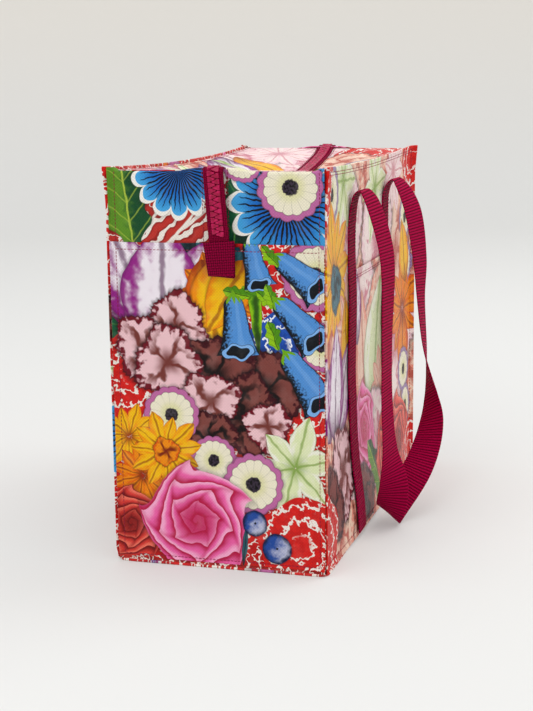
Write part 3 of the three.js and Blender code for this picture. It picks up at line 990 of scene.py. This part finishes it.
def leaf(k, x, y, grains, under, light, deep, vein):
    """A lobed leaf that runs from 0, -1 to 0, 1, lighter down one side."""
    up = y * 0.5 + 0.5
    lobes = (y * 11).sin() * 0.09 + 0.46
    profile = (up.most(0.0).least(1.0) * math.pi).sin().power(0.7) * lobes
    reach = abs(x) / profile.most(0.004) + k.ramp(abs(y), 0.97, 1.0, 0.0, 3.0)
    ribs = abs((up * 5 - abs(x) * 2.5).part() - 0.5)
    painted = k.mix(k.ramp(x + (grains[1] - 0.5) * 0.3, -0.12, 0.12), light, deep)
    painted = k.mix(k.ramp(ribs, 0.07, 0.02) * 0.55, painted, vein)
    painted = k.mix(k.ramp(abs(x), 0.03, 0.01), painted, vein)
    painted = k.mix(k.ramp(reach, 0.9, 1.0) * 0.4, painted, INK)
    return lay(k, under, painted, reach, 0.3)


def berry(k, x, y, grains, under, light, body, deep):
    """A glossy berry, mottled and lit from one side."""
    mottle = grains[1] - 0.5
    r, _ = k.polar(x, y)
    painted = k.mix(k.ramp(x - y + mottle * 2.2, -0.7, 0.9), body, light)
    painted = k.mix(k.ramp(r + mottle * 0.5, 0.6, 1.0), painted, deep)
    painted = k.mix(k.ramp(abs(x) + abs(y), 0.14, 0.06), painted, INK)
    return lay(k, under, painted, r)


def cutout(k, x, y, grains, under, paper, colour, deep):
    """A flower like cut paper: pale scratches that wind through a flat disc."""
    grain = grains[1]
    r, turn = k.polar(x, y)
    reach = r / ((turn * 5).sin() * 0.06 + 0.93)
    winding = abs((r * 3.2 + turn / math.tau + grain * 1.3).part() - 0.5)
    flower = k.mix(k.ramp(grain, 0.4, 0.6) * 0.5, colour, deep)
    flower = k.mix(k.ramp(winding, 0.13, 0.09) * k.ramp(r, 0.1, 0.3), flower, paper)
    return lay(k, under, flower, reach, 0.15)


def swoop(k, x, y, grains, under, paper, colour, deep):
    """Long curved strokes, edged in a pale line."""
    bow = y - (x * 1.5).sin() * 0.35
    line = (bow * 24 + grains[0] * 7).sin()
    reach = abs(bow) / k.ramp(abs(x), 1.0, 0.2, 0.01, 0.3)
    stroke = k.mix(k.ramp(line, -0.5, 0.4), colour, deep)
    stroke = k.mix(k.ramp(line, 0.62, 0.72), stroke, paper)
    stroke = k.mix(k.ramp(reach, 0.78, 0.84), stroke, paper)
    return lay(k, under, stroke, reach, 0.1)


MOTIFS = {
    "rosette": rosette,
    "streaked": streaked,
    "petal": blade(0.27, 0.8),
    "slim_petal": blade(0.06, 0.9),
    "wide_petal": blade(0.36, 0.8),
    "wheel": wheel(11, 0.2, 1.35),
    "star": wheel(6, 0.26, 0.95),
    "ruffle": ruffle,
    "rose": rose,
    "bell": bell,
    "leaf": leaf,
    "berry": berry,
    "cutout": cutout,
    "swoop": swoop,
}

# Three colours for each way of printing a motif.
PALETTES = {
    "cream": "f3edd8 c877ad 45394a",
    "lilac": "f3edd8 a890b8 2c2a30",
    "blue": "1a74c8 54b4ea 10131c",
    "tulip": "a02c92 f6eef6 641a5e",
    "tulip_dark": "7a2a68 d8b8dc 4a1838",
    "gold": "f49c08 f8c814 a04804",
    "orange": "e46a08 f49a10 8c3008",
    "carnation": "7c0e28 f2ccd2 84443e",
    "shade": "4c0c1c 8c504a 1c0a0a",
    "pink": "fcb6d8 f272b4 c01850",
    "coral": "f4806c e04a42 7c1418",
    "sky": "5e9cdc 8cbcf0 0e1a26",
    "lime": "9ccc18 5c9c10 20380a",
    "lily": "f4f4e6 e4ecc0 88a848",
    "green": "6c9c30 1c5a34 b4c850",
    "deep_green": "1e6a48 123c2c 5a9a50",
    "berry": "c4c8e0 2c58a8 12244e",
    "red": "f6efe8 e02a24 c41c1c",
    "brick": "f4ece4 c84038 a42c28",
    "azure": "f4f6fa 2a62c0 183c8c",
    "peach": "f0a08c f8d8c4 c86858",
    "blush": "f8d4dc fae8e4 d88c9c",
    "teal": "28586a 3e7886 102830",
}


def colours(palette):
    return [shade(code) for code in PALETTES[palette].split()]


def motif(kind, palette):
    """The node group that paints a motif in three colours over what is under it."""
    name = f"{kind} {palette}"
    if name in bpy.data.node_groups:
        return bpy.data.node_groups[name]
    tree = bpy.data.node_groups.new(name, "ShaderNodeTree")
    for given in ("X", "Y", "Coarse", "Middling", "Fine"):
        tree.interface.new_socket(given, in_out="INPUT", socket_type="NodeSocketFloat")
    tree.interface.new_socket("Under", in_out="INPUT", socket_type="NodeSocketColor")
    tree.interface.new_socket("Colour", in_out="OUTPUT", socket_type="NodeSocketColor")
    given = tree.nodes.new("NodeGroupInput")
    x, y, *grains = (Value(tree, socket) for socket in given.outputs[:5])
    painted = MOTIFS[kind](Sketch(tree), x, y, grains, given.outputs[5], *colours(palette))
    out = tree.nodes.new("NodeGroupOutput")
    tree.links.new(painted, out.inputs[0])
    return tree


def weave(k, across, along, pitch):
    """A plain weave of flat tapes: its height, and 1 where the lengthwise tape is on top, else 0."""
    first = (across * (math.pi / pitch)).sin()
    second = (along * (math.pi / pitch)).sin()
    over = k.ramp(first * second, -0.12, 0.12)
    return over * abs(first) + (over * -1 + 1.0) * abs(second), over


def material(name):
    made = bpy.data.materials.new(name)
    made.use_nodes = True
    return made, made.node_tree.nodes["Principled BSDF"], Sketch(made.node_tree)


def sheet_place(k):
    return k.add("ShaderNodeUVMap", uv_map="Sheet").outputs[0]


def coat(k, bsdf, colour, roughness, gloss):
    for slot, item in (("Base Color", colour), ("Roughness", roughness), ("Specular IOR Level", gloss)):
        put(k.tree, bsdf.inputs[slot], item)


def bumped(k, bsdf, height, distance, strength=1.0):
    bump = k.add("ShaderNodeBump")
    bump.inputs["Strength"].default_value = strength
    bump.inputs["Distance"].default_value = distance
    put(k.tree, bump.inputs["Height"], height)
    k.tree.links.new(bump.outputs[0], bsdf.inputs["Normal"])


# The print wanders off its drawing by up to about this much, and the sheet's tapes have this pitch.
PRINT_WANDER = 2.2 * MM
SHEET_WEAVE = 1.4 * MM


def printed(name, motifs, ground):
    """Glossy laminated woven sheet with its own layout of flowers: (kind, palette, x, y, size, turn)."""
    made, bsdf, k = material(name)
    place = sheet_place(k)
    across, along = k.split(place)
    coarse, middling, fine = k.noise(place, 55, 2), k.noise(place, 150, 2), k.noise(place, 420, 2)
    drawn_x = across + (k.noise(place, 85) - 0.5) * PRINT_WANDER
    drawn_y = along + (k.noise(k.shifted(place, 1.0), 85) - 0.5) * PRINT_WANDER
    paper, colour, deep = colours(ground)
    under = k.mix(k.ramp(coarse, 0.4, 0.6), colour, deep)
    under = k.mix(k.ramp(abs(k.noise(place, 95, 2) - 0.5), 0.035, 0.02), under, paper)
    for kind, palette, x, y, size, turn in motifs:
        spot = k.local(drawn_x, drawn_y, x, y, size, turn)
        group = k.add("ShaderNodeGroup", node_tree=motif(kind, palette))
        for slot, item in zip(group.inputs, (*spot, coarse, middling, fine, under)):
            put(k.tree, slot, item)
        under = group.outputs[0]
    tapes, over = weave(k, across, along, SHEET_WEAVE)
    worn = k.noise(place, 60, 3)
    under = k.mix(k.ramp(tapes, 0.5, 0.0) * 0.2, under, SHADOW)
    under = k.mix(over * 0.1, under, SHADOW)
    under = k.mix(k.ramp(worn, 0.5, 0.8) * 0.04, under, WHITE)
    ink = k.add("ShaderNodeGamma")
    put(k.tree, ink.inputs[0], under)
    ink.inputs[1].default_value = INK_DEPTH
    coat(k, bsdf, ink.outputs[0], k.ramp(worn, 0.3, 0.7, 0.26, 0.40), 0.16)
    bumped(k, bsdf, tapes * 0.35 + k.noise(place, 140, 2), 0.55 * MM, 0.8)
    return made


# Pitches of the webbing's slanted yarns.
YARN_ACROSS = 1.5 * MM
YARN_ALONG = 4.2 * MM


def webbing_material(name, colour, deep):
    """Ribbed polyester webbing: slanted yarns cross each rib, and painted shade darkens the grooves."""
    made, bsdf, k = material(name)
    place = sheet_place(k)
    across, along = k.split(place)
    rib = abs((along * (math.pi / RIB_PITCH)).cos())
    pair = (along * (math.pi / RIB_PITCH)).sin()
    row = (along / RIB_PITCH + 0.5).floor()
    slant = across / YARN_ACROSS + along / YARN_ALONG
    yarn = ((slant + row * 0.5) * math.tau).sin() * 0.5 + 0.5
    fuzz = k.noise(place, 900, 2)
    # Painted shade: darker in the grooves, more in every other groove, and in the gaps between yarns; the
    # fine noise is a random mottle.
    base = k.mix(k.ramp(rib, 0.8, 0.2) * 0.7, colour, deep)
    base = k.mix(k.ramp(pair, 0.5, 0.95) * 0.4, base, deep)
    base = k.mix(k.ramp(yarn, 0.35, 0.0) * 0.35, base, deep)
    base = k.mix(k.ramp(fuzz, 0.3, 0.7) * 0.15, base, deep)
    coat(k, bsdf, base, 0.55, 0.02)
    bumped(k, bsdf, yarn * 0.4 + rib + fuzz * 0.2, 0.9 * MM)
    return made


def basket_material(name, colour, deep, pitch):
    """Plain basket weave, for the folded tab and the zip's tape. The pitch is in millimetres."""
    made, bsdf, k = material(name)
    place = sheet_place(k)
    across, along = k.split(place)
    cloth, _ = weave(k, across, along, pitch * MM)
    fuzz = k.noise(place, 900, 2)
    # Painted shade: the weave is darker where its tapes dip low; the fine noise is a random mottle.
    base = k.mix(k.ramp(cloth, 0.15, 0.8), deep, colour)
    base = k.mix(k.ramp(fuzz, 0.3, 0.7) * 0.2, base, deep)
    coat(k, bsdf, base, 0.6, 0.03)
    bumped(k, bsdf, cloth, 0.9 * MM)
    return made


def plain_material(name, colour, deep, roughness, scale, relief, gloss=0.5, metallic=0.0):
    """Moulded, metal or thread finishes: a mottled colour and a fine grain, its relief in millimetres."""
    made, bsdf, k = material(name)
    place = k.add("ShaderNodeTexCoord").outputs["Object"]
    node = k.add("ShaderNodeTexNoise")
    put(k.tree, node.inputs["Vector"], place)
    node.inputs["Scale"].default_value = scale
    grain = Value(k.tree, node.outputs[0])
    worn = k.ramp(grain, 0.3, 0.7, roughness * 0.8, roughness * 1.2)
    coat(k, bsdf, k.mix(k.ramp(grain, 0.35, 0.65), deep, colour), worn, gloss)
    bsdf.inputs["Metallic"].default_value = metallic
    bumped(k, bsdf, grain, relief * MM)
    return made


# ---- Where the flowers fall on each sheet, the lowest first


def layout(text):
    """Flowers, one to a line: kind, palette, place and radius in millimetres, and turn in degrees."""
    lines = [line.split() for line in text.strip().splitlines()]
    return [(kind, palette, *map(float, numbers)) for kind, palette, *numbers in lines]


END_BAND = layout("""
    swoop brick 84 300 60 8
    swoop brick 60 318 54 18
    leaf green 16 330 46 8
    streaked blue 66 360 46 12
    leaf deep_green 120 318 40 -8
    streaked blue 166 330 56 0
    rosette cream 124 366 19 0
    rosette cream 169 345 31 10
""")
END_POCKET = layout("""
    leaf deep_green 14 216 50 30
    ruffle teal 86 272 44 0
    petal tulip_dark 40 210 100 -44
    petal tulip_dark 62 205 96 52
    petal tulip 44 208 112 24
    petal tulip 50 204 112 -28
    wide_petal tulip 46 202 112 -2
    rosette cream 192 268 32 0
    wheel orange 100 246 44 10
    petal orange 86 280 80 190
    petal gold 102 284 90 176
    petal gold 128 280 76 150
    cutout azure 160 204 34 0
    rosette cream 196 206 22 0
    cutout red 14 172 42 0
    cutout red 190 150 34 50
    ruffle shade 144 166 44 0
    ruffle carnation 60 218 36 70
    ruffle carnation 30 200 34 120
    ruffle shade 98 176 44 20
    ruffle carnation 52 186 38 200
    ruffle shade 122 140 44 60
    ruffle carnation 92 152 32 10
    ruffle carnation 146 132 26 150
    ruffle shade 92 120 28 250
    slim_petal lime 138 196 96 3
    leaf lime 132 254 14 -60
    leaf lime 148 246 14 60
    bell sky 135 279 23 14
    bell sky 173 271 27 54
    leaf lime 150 284 12 40
    leaf lime 118 250 13 80
    bell sky 117 224 29 4
    leaf lime 150 248 12 20
    bell sky 172 229 29 46
    leaf lime 152 214 14 20
    bell sky 179 178 31 38
    rosette cream 54 138 27 0
    star lily 172 96 50 14
    rosette cream 94 98 23 20
    wheel gold 12 116 34 40
    wheel orange 24 80 34 0
    wheel gold 48 104 40 12
    ruffle orange 48 104 15 0
    rosette cream 132 78 29 40
    cutout red 176 26 44 0
    rose coral 12 34 34 0
    rose pink 77 40 53 10
    slim_petal teal 122 0 44 -4
    berry berry 133 42 12 0
    berry berry 154 20 14 30
""")
FRONT_WALL = layout("""
    ruffle blush 120 300 66 0
    ruffle peach 340 250 80 40
    ruffle blush 250 270 80 10
    ruffle peach 20 200 70 90
    ruffle blush 350 150 80 0
    ruffle peach 60 20 60 30
    wheel blush 160 60 66 0
    star lily 90 346 62 0
    rosette lilac 40 336 28 0
    cutout red 0 348 44 0
    wheel gold 54 262 74 8
    ruffle teal 62 250 26 0
    wheel peach 120 196 66 0
    petal gold 116 150 90 8
    petal tulip 40 112 104 30
    petal tulip 70 108 104 -34
    wide_petal tulip 56 108 110 -4
    ruffle carnation 84 74 52 0
    ruffle shade 34 48 46 90
    cutout red 2 26 50 0
    star lily 240 330 60 10
    wheel blush 330 340 50 0
    cutout red 414 346 42 0
    rosette lilac 386 284 27 0
    rosette lilac 392 232 27 20
    wheel orange 380 182 62 0
    petal orange 384 180 90 176
    petal gold 396 210 80 20
    rosette lilac 384 112 26 0
    rosette lilac 392 70 24 30
    rose coral 350 40 52 0
    cutout red 410 14 36 0
""")
FRONT_POCKET = layout("""
    ruffle blush 180 214 70 0
    ruffle peach 262 190 74 60
    ruffle blush 150 130 70 90
    ruffle peach 220 130 60 20
    petal peach 196 96 140 8
    wide_petal lily 230 92 150 -14
    petal tulip 160 180 84 10
    wheel peach 268 110 56 0
    ruffle blush 240 66 60 200
    rose pink 184 90 48 0
    leaf green 214 40 42 30
    rose coral 268 34 50 0
    ruffle shade 154 26 46 0
""")
STRIPS = layout("""
    ruffle blush 60 20 50 0
    ruffle peach 220 20 60 0
    wheel blush 30 46 52 0
    petal gold 84 10 84 -30
    petal tulip 110 4 90 -50
    petal lily 130 10 90 -60
    petal tulip 150 4 90 -40
    leaf green 186 44 44 70
    petal tulip 200 6 90 -20
    star lily 272 44 54 0
    rosette lilac 318 30 26 0
    ruffle peach 350 60 40 0
    cutout red 384 40 40 0
    leaf green 330 78 34 40
""")
SCATTERED = [pair.split() for pair in (
    "ruffle carnation", "rose pink", "wheel gold", "star lily", "streaked blue", "rosette cream",
    "ruffle peach", "rose coral", "cutout red", "leaf green", "rosette lilac", "wheel orange",
    "ruffle shade", "cutout azure", "leaf deep_green",
)]


def scatter(seed, width, height, pitch=66):
    """A layout for a sheet that has no drawing of its own: a jittered grid, the larger flowers first."""
    draw = np.random.default_rng(seed)
    columns, rows = round(width / pitch), round(height / pitch)
    order = draw.permutation(columns * rows)
    found = []
    for number, cell in enumerate(order):
        kind, palette = SCATTERED[(number * 7 + seed) % len(SCATTERED)]
        x = (cell % columns + draw.uniform(0.25, 0.75)) * width / columns
        y = (cell // columns + draw.uniform(0.25, 0.75)) * height / rows
        size = pitch * (0.44 if kind in ("rosette", "leaf") else 0.68) * draw.uniform(0.85, 1.15)
        found.append((kind, palette, x, y, size, draw.uniform(0, 360)))
    return sorted(found, key=lambda item: -item[4])


across_mm, up_mm, deep_mm = 2000 * HALF_LENGTH, 1000 * HEIGHT, 2000 * HALF_DEPTH
PRINTS = {
    "front_wall": printed("front_wall_print", FRONT_WALL, "peach"),
    "front_pocket": printed("front_pocket_print", FRONT_POCKET, "peach"),
    "left_end": printed("left_end_print", END_BAND, "brick"),
    "left_pocket": printed("left_pocket_print", END_POCKET, "red"),
    "front_strip": printed("front_strip_print", STRIPS[::-1], "blush"),
    "back_strip": printed("back_strip_print", STRIPS, "blush"),
    "back_wall": printed("back_wall_print", scatter(4, across_mm, up_mm), "red"),
    "back_pocket": printed("back_pocket_print", scatter(9, across_mm, up_mm), "peach"),
    "right_end": printed("right_end_print", scatter(15, deep_mm, up_mm), "brick"),
    "right_pocket": printed("right_pocket_print", scatter(22, deep_mm, up_mm, 58), "red"),
    "base": printed("base_print", scatter(31, across_mm, deep_mm, 90), "red"),
}
webbing = webbing_material("webbing", shade("b80646"), shade("54021f"))
tab_webbing = basket_material("tab_webbing", shade("920538"), shade("420219"), 2.3)
tape_cloth = basket_material("zip_tape", shade("960a38"), shade("540220"), 1.5)
thread = plain_material("thread", shade("a41c48"), shade("74102c"), 0.5, 1500, 0.08, gloss=0.15)
moulded = plain_material("zip_teeth", shade("b80c50"), shade("940838"), 0.24, 300, 0.04, gloss=0.25)
enamel = plain_material("enamel", shade("98184a"), shade("7a103a"), 0.28, 200, 0.02, metallic=0.6)


def wear(piece, finish, nodes=()):
    """Gives a piece its material, and hides the CAD nodes it stands for."""
    piece.data.materials.clear()
    piece.data.materials.append(finish)
    if nodes:
        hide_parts(*nodes)


def sewn(name, rows, turned=False):
    """A row of stitching with its thread."""
    piece = stitching(name, rows, turned)
    wear(piece, thread)
    return piece


# ---- The bag

# Where a handle leaves its wall and where it moves freely.
HANDLE_BEND = (97.4 * MM, 107.8 * MM)
HANDLE_BEND_HEIGHT = 330 * MM


def flattened(pieces, body):
    """Pieces that ride a body, each with its own copy of its mesh."""
    for piece in pieces:
        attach(piece, body)
        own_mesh(piece)


for side, turned in (("front", False), ("back", True)):
    wall, pocket = broad_side(side, turned)
    wear(wall, PRINTS[f"{side}_wall"], [f"{side}_panel"])
    wear(pocket, PRINTS[f"{side}_pocket"], [f"{side}_pocket"])
    seams = sewn(f"{side}_wall_thread", broad_seams(), turned)
    strap_thread = sewn(f"{side}_strap_thread", strap_seams(), turned)
    left_strap, loop, right_strap = handle(side, turned)
    for piece, node in ((left_strap, "strap_left"), (loop, "handle"), (right_strap, "strap_right")):
        wear(piece, webbing, [f"{side}_{node}"])
    for piece in (wall, pocket, seams, strap_thread, left_strap, right_strap):
        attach(piece, side)
    way = 1 if turned else -1
    start, end = ((0, way * reach, HANDLE_BEND_HEIGHT) for reach in HANDLE_BEND)
    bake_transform(loop)
    strip = strip_side(side, turned)
    wear(strip, PRINTS[f"{side}_strip"], [f"top_strip_{side}"])
    strip_thread = sewn(f"{side}_strip_thread", strip_seams(), turned)
    flattened((strip, strip_thread), side)

for side, turned in (("left", False), ("right", True)):
    wall, pocket = end_side(side, turned)
    wear(wall, PRINTS[f"{side}_end"], [f"{side}_end_panel"])
    wear(pocket, PRINTS[f"{side}_pocket"], [f"{side}_end_pocket"])
    seams = sewn(f"{side}_end_thread", end_seams(), turned)
    flattened((wall, pocket, seams), "front")

base = base_sheet()
wear(base, PRINTS["base"], ["base_panel"])
flattened([base], "front")

# The zip's line is one piece between the rims, and each tail bends over its rim.
tail_start = zip_length(HALF_LENGTH - 4.6 * MM)
tab_line = zip_length(HALF_LENGTH) + HEIGHT - TAB_HIGH.z
for side, row in (("front", -1), ("back", 1)):
    near, far = sorted((row * 2.2 * MM, row * TAPE_REACH))
    band = zip_band(f"{side}_zip_band", -tail_start, tail_start, near, far, TAPE / 2, TAPE)
    wear(band, tape_cloth, [f"zip_tape_{side}"])
    row_teeth = teeth(f"{side}_zip_teeth", -tail_start, tail_start, [row])
    wear(row_teeth, moulded, [f"zip_teeth_{side}"])
    band_thread = sewn(f"{side}_zip_thread", tape_seam(row))
    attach(row_teeth, "zip_line")
    flattened((band, band_thread), "zip_line")

for side, turned in (("left", False), ("right", True)):
    way = 1 if turned else -1
    start, end = sorted((way * (tail_start + 0.02 * MM), way * (tab_line + 6 * MM)))
    band = zip_band(f"{side}_tail_band", start, end, -9 * MM, 9 * MM, TAPE / 2, TAPE)
    wear(band, tape_cloth, [f"{side}_tail_tape"])
    start, end = sorted((way * tail_start, way * (tab_line - 3 * MM)))
    chain = teeth(f"{side}_tail_chain", start, end, [-1, 1])
    wear(chain, moulded, [f"{side}_tail_teeth"])
    for piece in (band, chain):
        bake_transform(piece)
    tab = tail_tab(f"{side}_tab_webbing", turned)
    wear(tab, tab_webbing, [f"{side}_tail_tab"])
    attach(tab, f"{side}_tail")

for node in ("zip_slider", "slider_pull"):
    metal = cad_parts[node]
    metal.data.materials.clear()
    metal.data.materials.append(enamel)
    edge = metal.modifiers.new("Rounded edges", "BEVEL")
    edge.width = 0.35 * MM
    edge.segments = 3
    edge.limit_method = "ANGLE"

# ---- Stage


def sweep():
    """A plain floor that curves up into a backdrop all round the bag."""
    flat, radius, top, sides = 2.8, 1.3, 2.3, 96
    profile = [(0.3 * flat, 0.0), (flat, 0.0)]
    for t in np.linspace(0, math.pi / 2, 17)[1:]:
        profile.append((flat + radius * math.sin(t), radius * (1 - math.cos(t))))
    profile.append((flat + radius, top))
    points = [(0.0, 0.0, 0.0)]
    for reach, up in profile:
        for turn in np.linspace(0, math.tau, sides, endpoint=False):
            points.append((reach * math.cos(turn), reach * math.sin(turn), up))
    faces = [[0, 1 + k, 1 + (k + 1) % sides] for k in range(sides)]
    for ring in range(len(profile) - 1):
        for k in range(sides):
            a, b = 1 + ring * sides + k, 1 + ring * sides + (k + 1) % sides
            faces.append([a, a + sides, b + sides, b])
    return new_object("floor", points, faces)


def paper():
    """Matt backdrop paper, warmer high up, and faintly lit from behind to soften shadows."""
    made, bsdf, k = material("paper")
    place = k.add("ShaderNodeTexCoord").outputs["Object"]
    node = k.add("ShaderNodeSeparateXYZ")
    put(k.tree, node.inputs[0], place)
    high = k.ramp(Value(k.tree, node.outputs[2]), 0.0, 0.9)
    coat(k, bsdf, k.mix(high, (0.50, 0.50, 0.49), (0.52, 0.50, 0.468)), 0.95, 0.1)
    put(k.tree, bsdf.inputs["Emission Color"], k.mix(high, (0.255, 0.255, 0.252), (0.275, 0.264, 0.245)))
    bsdf.inputs["Emission Strength"].default_value = 1.0
    return made


floor = sweep()
floor.data.materials.append(paper())

world = bpy.data.worlds.new("studio")
bpy.context.scene.world = world
world.use_nodes = True
sky = world.node_tree.nodes["Background"].inputs
sky["Color"].default_value = (0.97, 0.985, 1.0, 1)
sky["Strength"].default_value = 0.74


def softbox(name, place, aim, size, power):
    """A square lamp that points at a place. Its size is in metres and its power in watts."""
    light = bpy.data.lights.new(name, "AREA")
    light.shape = "SQUARE"
    light.size = size
    light.energy = power
    lamp = bpy.data.objects.new(name, light)
    bpy.context.scene.collection.objects.link(lamp)
    lamp.location = place
    lamp.visible_camera = False
    lamp.rotation_euler = (Vector(aim) - Vector(place)).to_track_quat("-Z", "Y").to_euler()
    return lamp


overhead = softbox("overhead", (-0.3, 0, 3.0), (0, 0, 0), 3.0, 34)
front_fill = softbox("front_fill", (1.3, -1.9, 2.0), (0, 0, 0.15), 1.8, 27)
end_fill = softbox("end_fill", (-2.1, 0.5, 1.9), (0, 0, 0.15), 1.6, 16)

# The camera: where it stands, which way it looks, and its roll.
CAMERA_PLACE = (-1.38713, -0.38368, 0.43198)
CAMERA_AZIMUTH = 0.2797
CAMERA_DIP = 0.1887
CAMERA_ROLL = -0.0112
CAMERA_LENS = 72.7

lens = bpy.data.cameras.new("camera")
lens.lens = CAMERA_LENS
lens.sensor_width = 36
camera = bpy.data.objects.new("camera", lens)
bpy.context.scene.collection.objects.link(camera)
forward = Vector((math.cos(CAMERA_DIP) * math.cos(CAMERA_AZIMUTH),
                  math.cos(CAMERA_DIP) * math.sin(CAMERA_AZIMUTH), -math.sin(CAMERA_DIP)))
level = Vector((math.sin(CAMERA_AZIMUTH), -math.cos(CAMERA_AZIMUTH), 0))
above = level.cross(forward)
right = level * math.cos(CAMERA_ROLL) + above * math.sin(CAMERA_ROLL)
up = above * math.cos(CAMERA_ROLL) - level * math.sin(CAMERA_ROLL)
turn = Matrix((right, up, -forward)).transposed().to_4x4()
camera.matrix_world = Matrix.Translation(CAMERA_PLACE) @ turn
bpy.context.scene.camera = camera
bpy.context.scene.view_settings.view_transform = "Standard"
